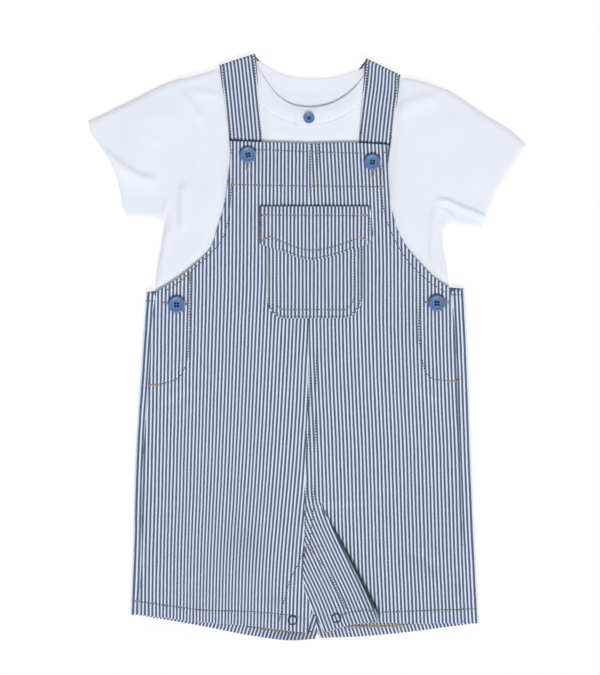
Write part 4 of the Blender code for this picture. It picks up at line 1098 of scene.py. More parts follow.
def stitched_relief(x: np.ndarray, y: np.ndarray, seams: list[Table], folds: list[tuple[Table, float, float]]
                    ) -> np.ndarray:
    """Relief of sewn cloth: raised doubled edges, a groove along each stitch line and small puckers by it.

    Args:
        x: places' x.
        y: places' y.
        seams: stitch lines.
        folds: edges with a doubled fold, as (line, width, rise).

    Returns:
        Height to add to the upper side.
    """
    relief = np.zeros(np.shape(x))
    for line, width, rise in folds:
        away, _ = nearest(evenly(line, 40), x, y)
        relief = relief + rise * (1.0 - smoothstep(away, width - 0.8, width + 0.8))
    for line in seams:
        away, along = nearest(as_path(line, 40), x, y)
        pucker = np.sin(2 * math.pi * along / 7.3) + 0.6 * np.sin(2 * math.pi * along / 4.7 + 1.3)
        relief = relief - GROOVE * np.exp(-(away**2)) + PUCKER * pucker * np.exp(-((away / 3.0) ** 2))
    return relief


def ragged_painted_shadow(past: np.ndarray, x: np.ndarray, depth: float) -> np.ndarray:
    """A painted shadow beside a doubled edge, its outer side uneven: a soft step at a sum of two sines of x."""
    outer = depth * (1.0 + 0.35 * np.sin(1.45 * x) + 0.25 * np.sin(2.9 * x + 1.0))
    return (past > -0.4) * (1.0 - smoothstep(past, outer, outer + 0.9))


def front_shade(x: np.ndarray, y: np.ndarray) -> np.ndarray:
    """Share of black in the fronts: a darker tone on the bib and legs, and painted shade in creases, the
    pleat's hollow and rolled edge, above the flap and north of the buttons.
    """
    shade = 0.02 + 0.045 * smoothstep(y, 105.0, 135.0) + 0.02 * smoothstep(y, -105.0, -150.0)
    shade = shade + sum(item.height(x, y) for item in FRONT_SHADES)
    # Painted shadow in the pleat's hollow, beside the flap's edge, widening towards the hem.
    past = x - PLEAT.edge_x(y)
    wide = 0.7 + 1.9 * smoothstep(y, -142.0, -200.0)
    hollow = 1.0 - smoothstep(past, 0.5 * wide, 1.9 * wide)
    in_leg = (past > -0.5) * smoothstep(y, -140.0, -150.0) * smoothstep(y, -246.0, -238.0)
    shade = shade + 0.9 * hollow * in_leg
    # A slightly darker tone on the pleat's flap, and painted shade along its rolled edge near the hem.
    shade = shade + 0.03 * (past < 0.0) * smoothstep(x, -3.0, 2.0) * smoothstep(y, -140.0, -160.0)
    shade = shade + 0.2 * (past < 0.0) * smoothstep(past, -10.0, -3.0) * smoothstep(y, -196.0, -224.0)
    # Painted shadow above the flap's top edge, uneven along it.
    over_flap = smoothstep(np.minimum(x - FLAP_POINT[0][0], FLAP_RIGHT_SIDE[-1][0] - x), 0.0, 1.5)
    shade = shade + 0.55 * ragged_painted_shadow(y - FLAP_TOP_Y, x, 1.5) * over_flap
    # Painted shadow north of the four dungaree buttons.
    for button in BUTTONS[:4]:
        away = np.hypot(x - button.x, y - button.y)
        north = smoothstep((y - button.y) / np.maximum(away, 0.1), -0.1, 0.7)
        shade = shade + 0.75 * north * (1.0 - smoothstep(away, button.radius + 0.5, button.radius + 1.7))
    return np.clip(shade, 0.0, 0.92)


@dataclass
class DungareeFront:
    """The two front panels, with the pleat in the right leg."""

    finishes: Finishes
    wall: float = 0.95
    rows: int = 270

    def seams(self, side: Side) -> list[Table]:
        """Stitch lines that mark a front's cloth."""
        lines = [table[side] for table in FRONT_STITCHES]
        lines.append([(side.sign * 68.0, 143.8 if side is Side.RIGHT else 144.9), (1.8, 143.6)])
        lines.append([(side.sign * 44.0, 175.0), (1.8, 174.2)])
        if side is Side.RIGHT:
            lines += [CENTRE_STITCH_NEAR, CENTRE_STITCH_FAR, FLAP_HEM_STITCH]
        return lines

    def relief(self, side: Side, x: np.ndarray, y: np.ndarray) -> np.ndarray:
        """Sewn relief of a front panel."""
        folds = [(FRONT_HEM[side], HEM_DEPTH, 0.35), (ARMHOLE[side], 6.5, 0.25), (BIB_TOP[side], 8.5, 0.3)]
        return stitched_relief(x, y, self.seams(side), folds)

    def left(self) -> bpy.types.Object:
        """Left front: plan grid raised to the layer's height."""
        grid = raised(front_plan(Side.LEFT, self.rows, 42, 66), LAYERS.front_mid)
        x, y = grid[..., 0], grid[..., 1]
        hold = 0.3 + 0.7 * smoothstep(x, -140.0, -20.0)
        grain = np.dstack([x - LEFT_LEAN.shift(y) * hold, y, front_shade(x, y)])
        return cloth_wall("dungaree_front_left_cloth", grid, self.wall, grain, self.finishes.stripe,
                          self.relief(Side.LEFT, x, y), turned=True)

    def pleat_row(self, row: np.ndarray, cells: tuple[int, int, int, int]) -> np.ndarray:
        """One row through the pleat: flap, turn, tucked layer, turn back, then the leg.

        Args:
            row: plain plan row from the centre to the side.
            cells: cells of the flap, of each turn, of the tucked layer and of the leg.

        Returns:
            Points of the row.
        """
        flap_cells, arc_cells, tuck_cells, leg_cells = cells
        height = float(np.interp(row[0, 0] + 20.0, row[:, 0], row[:, 1]))
        bend, tuck = float(PLEAT.bend(height)), float(PLEAT.tuck(height))
        edge = float(PLEAT.edge_x(height))
        radius = PLEAT.arc_radius(height) if bend > 0.01 else PLEAT.radius
        reach = radius * math.sin(min(bend, math.pi / 2))
        turn_x = edge - reach - LAYERS.cloth / 2
        arc = radius * bend if bend > 0.01 else PLEAT.radius * math.pi
        down = -bend * (np.arange(arc_cells) + 0.5) / arc_cells
        heading = np.concatenate([down, np.full(tuck_cells, -bend), down[::-1]])
        step = np.concatenate([np.full(arc_cells, arc / arc_cells), np.full(tuck_cells, tuck / tuck_cells),
                               np.full(arc_cells, arc / arc_cells)])
        fold_x = turn_x + np.concatenate([[0.0], np.cumsum(step * np.cos(heading))])
        fold_z = np.concatenate([[0.0], np.cumsum(step * np.sin(heading))])
        flap_x = np.linspace(row[0, 0], turn_x, flap_cells + 1)[:-1]
        leg_x = np.linspace(fold_x[-1], row[-1, 0], leg_cells + 1)[1:]
        back_up = smoothstep(leg_x, edge + 1.0, edge + PLEAT.dip)
        x = np.concatenate([flap_x, fold_x, leg_x])
        z = np.concatenate([np.zeros(flap_cells), fold_z, fold_z[-1] * (1.0 - back_up)])
        y = np.interp(x, row[:, 0], row[:, 1])
        return np.column_stack([x, y, LAYERS.front_mid(x, y) + z])

    def right(self) -> bpy.types.Object:
        """Right front: rows above the pleat stay plain, and its columns spread out towards the bib."""
        cells = (22, 6, 6, 66)
        total = cells[0] + 2 * cells[1] + cells[2] + cells[3]
        plan = front_plan(Side.RIGHT, self.rows, 40, total - 40)
        grid, lean = [], []
        for row in plan:
            height = float(np.interp(row[0, 0] + 20.0, row[:, 0], row[:, 1]))
            section = self.pleat_row(row, cells)
            if height > PLEAT.turn_from:
                spread = float(smoothstep(height, PLEAT.turn_from, 60.0))
                own = lengths(row) / lengths(row)[-1]
                at = (1 - spread) * lengths(section[:, :2]) / lengths(section[:, :2])[-1] + spread * own
                plain = np.column_stack([np.interp(at, own, row[:, k]) for k in (0, 1)])
                section = raised(plain[None], LAYERS.front_mid)[0]
                gone = 1.0 - smoothstep(section[:, 0], 5.0, 16.0)
                across = section[:, 0] - PLEAT_LEAN.shift(section[:, 1]) * gone
            else:
                across = section[:, 0] - PLEAT_LEAN.shift(section[:, 1])
                flap, leg = cells[0], total - cells[3]
                across[leg:] = section[leg:, 0]
                across[flap:leg] = np.linspace(across[flap], across[leg], leg - flap, endpoint=False)
            grid.append(section)
            lean.append(across - RIGHT_LEAN.shift(section[:, 1]))
        grid = np.array(grid)
        x, y = grid[..., 0], grid[..., 1]
        top_side = np.abs(grid[..., 2] - LAYERS.front_mid(x, y)) < 3.2
        grain = np.dstack([np.array(lean), y, front_shade(x, y)])
        return cloth_wall("dungaree_front_right_cloth", grid, self.wall, grain, self.finishes.stripe,
                          self.relief(Side.RIGHT, x, y) * top_side)

    def top(self, side: Side) -> Height:
        """Upper surface of a front, for what is sewn on it."""
        def surface(x: np.ndarray, y: np.ndarray) -> np.ndarray:
            """Middle surface, half the wall, the sewn relief and the pleat's drop."""
            plain = LAYERS.front_mid(x, y) + self.wall / 2 + self.relief(side, x, y)
            return plain - (PLEAT.drop(x, y) if side is Side.RIGHT else 0.0)
        return surface


@dataclass
class DungareeBack:
    """The two back panels: flat on the floor, round the sides and lapped under the front."""

    finishes: Finishes
    wall: float = 1.1
    rows: int = 170

    def plan(self, side: Side) -> tuple[np.ndarray, np.ndarray]:
        """Flat part's plan grid, and its side line, set in by the turn."""
        low, high = BACK_INNER[side][1][1], BACK_SCOOP[side][0][1]
        rows = np.concatenate([[BACK_HEM[side][0][1]], np.linspace(low, high, self.rows)])
        leg, seam = x_at(BACK_INNER[side], rows), x_at(CENTRE_SEAM, rows)
        inner = np.column_stack([np.where(rows < CROTCH_Y, leg, seam) + side.sign * 0.15, rows])
        inner[0] = BACK_HEM[side][0]
        outer = side_line(SILHOUETTE[side], 300, (rows - rows[0]) / (rows[-1] - rows[0]))
        outer[:, 0] -= side.sign * (LAYERS.turn + LAYERS.cloth / 2)
        bib = np.linspace(inner[-1], BACK_SCOOP[side][0], 9)
        top = chain(bib, evenly(BACK_SCOOP[side], 40))
        hem = evenly(BACK_HEM[side], len(top) - 1)
        hem[-1], top[-1] = outer[0], outer[-1]
        return coons(hem, top, inner, outer), outer

    def build(self, side: Side) -> bpy.types.Object:
        """Flat grid, half circle round the side, then the lap; stripes follow the unrolled width."""
        plan, outer = self.plan(side)
        flat = np.dstack([plan, np.full(plan.shape[:2], self.wall / 2)])
        angle = math.pi * np.arange(1, 11) / 10
        turn_x = outer[:, :1] + side.sign * LAYERS.turn * np.sin(angle)
        turn_z = np.broadcast_to(self.wall / 2 + (LAYERS.strap - self.wall / 2) * (1 - np.cos(angle)) / 2,
                                 turn_x.shape)
        y = outer[:, 1:2]
        lap_end = x_at(FRONT_SIDE[side], outer[:, 1]) - side.sign * LAYERS.lap(outer[:, 1])
        share = np.linspace(0.0, 1.0, 13)[1:]
        lap_x = outer[:, :1] + (lap_end[:, None] - outer[:, :1]) * share
        lap_z = np.full_like(lap_x, LAYERS.strap)
        wrap_x = np.concatenate([turn_x, lap_x], axis=1)
        wrap_z = np.concatenate([turn_z, lap_z], axis=1)
        wrap = np.dstack([wrap_x, np.broadcast_to(y, wrap_x.shape), wrap_z])
        grid = np.concatenate([flat, wrap], axis=1)
        out = side.sign * outer[:, :1]
        outward = side.sign * grid[..., 0]
        turned = np.concatenate([np.zeros(plan.shape[1]), np.minimum(np.arange(1, 11) / 5, 1.0), np.ones(12)])
        under = outward - (1 - turned) * BACK_LEAN.shift(grid[..., 1]) - turned * (out - out.max())
        over = out.max() + 2 * LAYERS.turn + out - outward
        across = np.where(np.arange(grid.shape[1]) < plan.shape[1] + 5, under, over)
        # Painted shade along the turned top edge of the lap, and on the hem where it shows below the front.
        top_edge = np.full(across.shape, 99.0)
        top_edge[:, -12:] = outer[-1, 1] - grid[:, -12:, 1]
        shade = 0.85 * ragged_painted_shadow(top_edge, grid[..., 0], 1.3) + HEM_SHADE.height(grid[..., 0], grid[..., 1])
        grain = np.dstack([side.sign * across, grid[..., 1], shade])
        seams, folds = [BACK_HEM_STITCH[side]], [(BACK_HEM[side], 10.0, 0.3)]
        relief = np.zeros(across.shape)
        relief[:, :plan.shape[1]] = stitched_relief(plan[..., 0], plan[..., 1], seams, folds)
        return cloth_wall(f"dungaree_back_{side.value}_cloth", grid, self.wall, grain, self.finishes.stripe,
                          relief, turned=side is Side.LEFT)

    def top(self, x: np.ndarray, y: np.ndarray) -> np.ndarray:
        """Upper side of the flat part, inside the leg."""
        return np.full(np.shape(x), self.wall + 0.25)

    def lap_top(self, x: np.ndarray, y: np.ndarray) -> np.ndarray:
        """Upper side of the lap beside the front's edge."""
        return np.full(np.shape(x), LAYERS.strap + self.wall / 2)


@dataclass
class Straps:
    """The two straps, from under the bib over the shoulders to the back bib."""

    finishes: Finishes
    wall: float = 1.1
    inset: float = 1.6

    def build(self, side: Side) -> bpy.types.Object:
        """Front run, half circle over the shoulder fold, back run; stripes run along the strap."""
        share = np.linspace(0.0, 1.0, 31)[None, :, None]
        front, back = STRAP_FRONT[side], STRAP_BACK[side]
        top, low = ((1 - share) * evenly(edges["inner"], cells)[:, None]
                    + share * evenly(edges["outer"], cells)[:, None]
                    for edges, cells in ((front, 160), (back, 60)))
        top = top[::-1]
        fold = np.array(front["inner"][0]) - np.array(front["outer"][0])
        away = -side.sign * unit(np.array([-fold[1], fold[0]]))
        angle = math.pi * np.arange(1, 10) / 10
        turn = low[0][None] + away * LAYERS.turn * np.sin(angle)[:, None, None]
        turn_z = LAYERS.strap - (LAYERS.strap - self.wall / 2) * (1 - np.cos(angle)) / 2
        z = np.concatenate([np.full(len(top), LAYERS.strap), turn_z, np.full(len(low), self.wall / 2)])
        plan = np.concatenate([top, turn, low])
        grid = np.dstack([plan, np.broadcast_to(z[:, None], plan.shape[:2])])
        width = np.linalg.norm(plan[:, 0] - plan[:, -1], axis=1)
        across = (share[0, :, 0] - 0.5)[None] * np.maximum(width, 27.0)[:, None] * side.sign
        run = lengths(grid[:, grid.shape[1] // 2])
        edge = np.minimum(share[0, :, 0], 1 - share[0, :, 0])[None] * width[:, None]
        groove = np.exp(-(((edge - self.inset) / 0.8) ** 2))
        relief = 0.1 * (1 - smoothstep(edge, self.inset, 4.0)) - 0.2 * groove
        x, y = grid[..., 0], grid[..., 1]
        # Painted shadow of the bib's top edge on the strap, over a slightly darker tone; none on the back run.
        bib = np.array(BIB_TOP[side])
        past = y - np.interp(side.sign * x, side.sign * bib[:, 0], bib[:, 1])
        shade = 0.075 + 0.8 * ragged_painted_shadow(past, x, 1.9)
        grain = np.dstack([across, np.broadcast_to(run[:, None], across.shape), shade * (grid[..., 2] > 2.5)])
        return cloth_wall(f"strap_{side.value}_cloth", grid, self.wall, grain, self.finishes.stripe, relief,
                          turned=side is Side.LEFT)

    def edges(self, side: Side) -> list[Table]:
        """Stitch lines along the front run, set in from both edges."""
        inner, outer = (evenly(STRAP_FRONT[side][edge], 12) for edge in ("inner", "outer"))
        step = self.inset * unit(outer - inner)
        lines = [inner + step, outer - step]
        return [[tuple(point) for point in line if point[1] > 184.0] for line in lines]

    def top(self, x: np.ndarray, y: np.ndarray) -> np.ndarray:
        """Upper side of the front run."""
        return np.full(np.shape(x), LAYERS.strap + self.wall / 2 - 0.12)


@dataclass
class Pocket:
    """The patch pocket and its pointed flap."""

    finishes: Finishes
    wall: float = 0.85

    def floor_line(self, inset: float = 0.0, cells: int = 12) -> np.ndarray:
        """Floor with rounded corners: quarter ovals joined by a straight line, set in from the edge.

        Args:
            inset: how far inside the pocket's edge.
            cells: cells in each corner.

        Returns:
            Points from the left corner's start to the right corner's end.
        """
        quarter = np.linspace(0.0, math.pi / 2, cells + 1)
        lines = []
        for side, x in ((Side.LEFT, POCKET_LEFT_X), (Side.RIGHT, POCKET_RIGHT_X)):
            wide, high = POCKET_CORNER[side]
            centre_x, centre_y = x - side.sign * wide, POCKET_FLOOR_Y + high
            lines.append(np.column_stack([centre_x + side.sign * (wide - inset) * np.cos(quarter),
                                          centre_y - (high - inset) * np.sin(quarter)]))
        left, right = lines[0], lines[1][::-1]
        return chain(left, np.linspace(left[-1], right[0], 2 * cells + 1), right)

    def outline(self, inset: float) -> np.ndarray:
        """Sides and floor as one line, set in from the edge."""
        floor = self.floor_line(inset)
        left = np.linspace((floor[0, 0], 92.0), floor[0], 20)
        right = np.linspace(floor[-1], (floor[-1, 0], 92.0), 20)
        return chain(left, floor, right)

    def body_relief(self, x: np.ndarray, y: np.ndarray) -> np.ndarray:
        """Two stitched lines round the pocket, over a doubled edge."""
        relief = np.zeros(np.shape(x))
        for inset in POCKET_STITCHES:
            away, along = nearest(self.outline(inset), x, y)
            relief = relief - 0.2 * np.exp(-((away / 0.9) ** 2))
            relief = relief + 0.06 * np.sin(2 * math.pi * along / 6.1) * np.exp(-((away / 2.6) ** 2))
        edge, _ = nearest(self.outline(0.0), x, y)
        return relief + 0.22 * (1.0 - smoothstep(edge, 7.0, 9.0))

    def body(self) -> bpy.types.Object:
        """The patch, filled between its floor, sides and mouth."""
        floor = self.floor_line()
        top = np.linspace((POCKET_LEFT_X, POCKET_TOP_Y), (POCKET_RIGHT_X, POCKET_TOP_Y), len(floor))
        plan = coons(floor, top, np.linspace(floor[0], top[0], 54), np.linspace(floor[-1], top[-1], 54))
        x, y = plan[..., 0], plan[..., 1]
        edge, _ = nearest(self.outline(0.0), x, y)
        grain = np.dstack([x + 0.6, y, 0.055 + 0.06 * (1.0 - smoothstep(edge, 0.5, 3.0))])
        return cloth_wall("pocket_cloth", raised(plan, LAYERS.pocket), self.wall, grain, self.finishes.stripe,
                          self.body_relief(x, y))

    def flap_lines(self) -> list[Table]:
        """Stitch lines on the flap: its mouth, and twin lines along its sides and point."""
        near = [(x, y + 1.5) for x, y in FLAP_POINT[1:-1]]
        far = [(-33.3, 98.2), (-19.8, 92.6), (-8.1, 88.2), (0, 86.2), (8.7, 86.2), (20.7, 88.4), (31.2, 91.6),
               (46.2, 96.6)]
        side = [(x - 1.3, y) for x, y in FLAP_RIGHT_SIDE[1:4]]
        return [[(-41, 117.6), (55.6, 117)], near, far, [(-40.9, 116.5), (-40.9, 93.5)], side]

    def flap_relief(self, x: np.ndarray, y: np.ndarray) -> np.ndarray:
        """Sewn relief of the flap."""
        folds = [([(-42.3, 125.1), (55.6, 125.1)], 8, 0.2), (FLAP_POINT, 8.5, 0.2)]
        fold_back = 0.5 * smoothstep(y, 119.5, 124.5)
        return stitched_relief(x, y, self.flap_lines(), folds) + fold_back

    def flap(self) -> bpy.types.Object:
        """The flap, from its pointed edge up to its fold."""
        columns = np.linspace(FLAP_POINT[0][0], FLAP_POINT[-1][0], 66)
        point = evenly(FLAP_POINT, 200)
        lower = np.column_stack([columns, np.interp(columns, point[:, 0], point[:, 1])])
        upper = np.column_stack([columns, np.full(len(columns), FLAP_TOP_Y)])
        share = np.linspace(0.0, 1.0, 34)[:, None, None]
        plan = (1 - share) * lower[None] + share * upper[None]
        past_pocket = np.clip((columns - POCKET_RIGHT_X) / (columns[-1] - POCKET_RIGHT_X), 0.0, 1.0)
        plan[..., 0] += past_pocket * (x_at(FLAP_RIGHT_SIDE, plan[:, -1:, 1]) - columns[-1])
        x, y = plan[..., 0], plan[..., 1]
        grain = np.dstack([x + 1.4, y, np.full_like(x, 0.05)])
        return cloth_wall("pocket_flap_cloth", raised(plan, LAYERS.flap), self.wall, grain,
                          self.finishes.stripe, self.flap_relief(x, y))

    def body_top(self, x: np.ndarray, y: np.ndarray) -> np.ndarray:
        """Upper side of the pocket."""
        return LAYERS.pocket(x, y) + self.wall / 2 + self.body_relief(x, y)

    def flap_top(self, x: np.ndarray, y: np.ndarray) -> np.ndarray:
        """Upper side of the flap."""
        return LAYERS.flap(x, y) + self.wall / 2 + self.flap_relief(x, y)


# T-shirt

TAB_X = (-9.9, 9.0)
TAB_Y = (197.0, 212.6)


@dataclass
class TeeShirt:
    """The T-shirt: front, back, sleeves, neckband and button tab."""

    finishes: Finishes
    wall: float = 0.8
    tuck: float = 0.5

    def panel(self, name: str, neck: Table, height: Height, cells: float) -> bpy.types.Object:
        """A body panel between hem, side seams, armholes, shoulders and neck seam.

        Args:
            name: the object's name.
            neck: its neck seam.
            height: its middle surface.
            cells: size of a cell.

        Returns:
            The panel.
        """
        left, right = (chain(evenly(TEE_SIDE[side], int(209 / cells)),
                             evenly(TEE_ARMHOLE[side], int(135 / cells))) for side in Side)
        shoulder = int(54 / cells)
        top = chain(evenly(TEE_SHOULDER[Side.LEFT], shoulder), evenly(neck, int(150 / cells)),
                    evenly(TEE_SHOULDER[Side.RIGHT][::-1], shoulder))
        plan = coons(np.linspace(left[0], right[0], len(top)), top, left, right)
        x, y = plan[..., 0], plan[..., 1]
        grain = np.dstack([x, y, np.zeros_like(x)])
        return cloth_wall(name, raised(plan, height), self.wall, grain, self.finishes.jersey)

    def sleeve(self, side: Side) -> bpy.types.Object:
        """A sleeve: upper wall, underarm turn, lower wall and the turn along its top, as one ring."""
        start = evenly(TEE_ARMHOLE[side][::-1], 56)
        run = np.gradient(start, axis=0)
        start = start + side.sign * self.tuck * unit(np.column_stack([run[:, 1], -run[:, 0]]))
        cuff = evenly(SLEEVE_CUFF[side][::-1], 56)
        top, under = evenly(SLEEVE_TOP[side], 40), evenly(SLEEVE_UNDER[side], 40)
        top[0], under[0] = start[0], start[-1]
        plan = coons(start, cuff, top, under)
        upper = raised(plan, LAYERS.tee_front)
        lower = raised(plan, LAYERS.tee_back)[:, ::-1]
        across = unit(plan[:, -1] - plan[:, 0])
        grid = np.concatenate([upper, half_turn(upper[:, -1], lower[:, 0], across), lower,
                               half_turn(upper[:, 0], lower[:, -1], -across)[:, ::-1]], axis=1)
        around = np.cumsum(np.linalg.norm(np.diff(grid, axis=1, prepend=grid[:, :1]), axis=2), axis=1)
        along = np.cumsum(np.linalg.norm(np.diff(grid, axis=0, prepend=grid[:1]), axis=2), axis=0)
        relief = -0.16 * np.exp(-(((along[-1][None] - along - 12.0) / 0.9) ** 2))
        relief = relief - 0.14 * np.exp(-((along / 2.2) ** 2))
        grain = np.dstack([around, along, np.zeros(around.shape)])
        return cloth_wall(f"sleeve_{side.value}_cloth", grid, self.wall, grain, self.finishes.jersey, relief,
                          ring=True, turned=side is Side.LEFT)

    def neckband(self) -> bpy.types.Object:
        """The band as one ring: the front half, a turn at each shoulder and the back half behind."""
        across = np.linspace(0.0, 1.0, 15)[:, None, None]

        def half(edge: Table, seam: Table, height: Height, lift: float) -> np.ndarray:
            """One half between its free edge and its seam, swelling up to its free edge."""
            edge_line, seam_line = evenly(edge, 110), evenly(seam, 110)
            seam_line = seam_line + 0.15 * unit(edge_line - seam_line)
            grid = raised((1 - across) * edge_line[None] + across * seam_line[None], height)
            along = np.linspace(0.0, 1.0, 111)[None]
            swell = np.sin(math.pi * along) ** 2
            grid[..., 2] += lift * swell * (1.0 - smoothstep(across[..., 0], 0.0, 1.0))
            return grid

        front = half(NECK_EDGE_FRONT, NECK_SEAM_FRONT, LAYERS.tee_front, 0.15)
        back = half(NECK_EDGE_BACK[::-1], NECK_SEAM_BACK[::-1], LAYERS.tee_back, 0.25)

        def turn(high: np.ndarray, low: np.ndarray) -> np.ndarray:
            """Half circle at a shoulder, from the front's end down to the back's, towards +Y."""
            fold = high[0, :2] - high[-1, :2]
            return half_turn(high, low, math.copysign(1.0, fold[0]) * unit(np.array([-fold[1], fold[0]])))

        grid = np.concatenate([front, turn(front[:, -1], back[:, 0]), back,
                               turn(front[:, 0], back[:, -1])[:, ::-1]], axis=1)
        middle = grid[7]
        around = np.broadcast_to(lengths(middle)[None], grid.shape[:2])
        width = np.broadcast_to(across[..., 0] * 15.0, grid.shape[:2])
        grain = np.dstack([around, width, np.zeros(grid.shape[:2])])
        relief = np.broadcast_to(0.1 - 0.42 * smoothstep(across[..., 0], 0.84, 1.0), grid.shape[:2])
        return cloth_wall("neckband_cloth", grid, self.wall, grain, self.finishes.ribbed, relief, ring=True,
                          turned=True)

    def tab_grid(self, columns: int, rows: int) -> list[np.ndarray]:
        """x and y of a plan grid over the button tab."""
        return np.meshgrid(np.linspace(*TAB_X, columns), np.linspace(*TAB_Y, rows))

    def tab_top(self) -> float:
        """Height of the button tab's middle, on the highest point under it."""
        x, y = self.tab_grid(12, 12)
        return float(LAYERS.tee_front(x, y).max() + LAYERS.jersey / 2 + LAYERS.gap + LAYERS.patch / 2)

    def tab(self) -> bpy.types.Object:
        """The square button tab, lying just over the neckband."""
        x, y = self.tab_grid(26, 22)
        edge = np.minimum(np.minimum(x - TAB_X[0], TAB_X[1] - x), np.minimum(y - TAB_Y[0], TAB_Y[1] - y))
        button = BUTTONS[-1]
        middle = (1.0 - smoothstep(np.hypot(x - button.x, y - button.y), 3.0, 8.0)) * 0.4
        grid = raised(np.dstack([x, y]), lambda at_x, at_y: LAYERS.tee_front(at_x, at_y) + 0.62)
        grid[..., 2] += middle
        relief = -0.2 * np.exp(-(((edge - 1.6) / 0.6) ** 2))
        return cloth_wall("neck_tab_cloth", grid, 0.6, np.dstack([x, y, 0 * x]), self.finishes.jersey, relief)


# Fastenings


@dataclass(frozen=True)
class Button:
    """A four-hole button."""

    node: str
    x: float
    y: float
    radius: float
    turn: float

    def build(self, base: float, finishes: Finishes) -> tuple[bpy.types.Object, bpy.types.Object]:
        """A turned disc with a raised rim and four sunk holes, filled with thread painted near-black for the
        shade in the holes.

        Args:
            base: height of its underside.
            finishes: materials.

        Returns:
            The button and its thread.
        """
        scale = self.radius / 7.6
        angle = circle(96)
        profile = np.array([(0.05, 0), (5.2, 0), (6.6, 0.1), (7.25, 0.55), (7.6, 1.2), (7.55, 1.8),
                            (7.25, 2.35), (6.75, 2.72), (6.2, 2.8), (5.75, 2.66), (5.35, 2.36), (5, 2.16),
                            (4.5, 2.06), (4, 2.03), (3.5, 2.02), (3.2, 2.01)]
                           + [(step / 20, 2.0) for step in range(59, 8, -5)] + [(0.05, 2.0)])
        radius = profile[:, 0, None] * np.ones_like(angle)
        x, y = radius * np.cos(angle), radius * np.sin(angle)
        z = profile[:, 1, None] * np.ones_like(angle)
        upper = (np.arange(len(profile)) > 9)[:, None]
        holes = [(1.75 * math.cos(self.turn + quarter), 1.75 * math.sin(self.turn + quarter))
                 for quarter in circle(4)]
        for hole_x, hole_y in holes:
            away = np.hypot(x - hole_x, y - hole_y)
            z = z - upper * 1.5 * (1.0 - smoothstep(away, 0.85, 1.2))
        rings = np.stack([x * scale + self.x, y * scale + self.y, z * scale + base], axis=-1)
        points, faces = tube_rings(rings, closed=False)
        button = new_mesh(f"{self.node}_face", points, [face[::-1] for face in faces], finishes.button)
        # Near-black plugs in the holes: thread, painted dark for the shade in them.
        plugs = []
        section = np.array([(0.1, 0.6), (0.9, 0.7), (1.12, 0.95), (0.9, 1.2), (0.45, 1.3), (0.1, 1.32)])
        round_hole = circle(12)
        for hole_x, hole_y in holes:
            ring = np.stack([hole_x + section[:, :1] * np.cos(round_hole),
                             hole_y + section[:, :1] * np.sin(round_hole),
                             section[:, 1:] + np.zeros_like(round_hole)], axis=-1)
            plugs.append(tube_rings(ring * scale + [self.x, self.y, base], closed=False))
        return button, new_mesh(f"{self.node}_thread", *merged(plugs), finishes.navy)


@dataclass(frozen=True)
class Snap:
    """The ring of a press stud."""

    node: str
    x: float
    y: float
    radius: float = 4.4
    band: float = 1.1

    def build(self, base: float, material: bpy.types.Material) -> bpy.types.Object:
        """A torus with a slightly flat section."""
        angle, section = circle(64), circle(12)
        middle = self.radius - self.band / 2
        reach = middle + self.band / 2 * np.cos(section)
        rings = np.stack([self.x + reach[None] * np.cos(angle)[:, None],
                          self.y + reach[None] * np.sin(angle)[:, None],
                          np.broadcast_to(base + 0.42 + 0.42 * np.sin(section), (len(angle), len(section)))],
                         axis=-1)
        points, faces = tube_rings(rings, closed=True)
        return new_mesh(f"{self.node}_ring", points, [face[::-1] for face in faces], material)


BUTTONS = [Button("button_bib_left", -53.0, 171.6, 7.3, 0.95),
           Button("button_bib_right", 58.7, 165.2, 7.3, 0.6),
           Button("button_side_left", -117.0, 37.2, 7.6, 0.75),
           Button("button_side_right", 116.7, 38.4, 7.5, 0.78),
           Button("button_neck", 1.8, 204.8, 5.0, 1.2)]
SNAPS = [Snap("snap_left", -13.0, -246.4), Snap("snap_right", 26.4, -244.4)]


# Studio


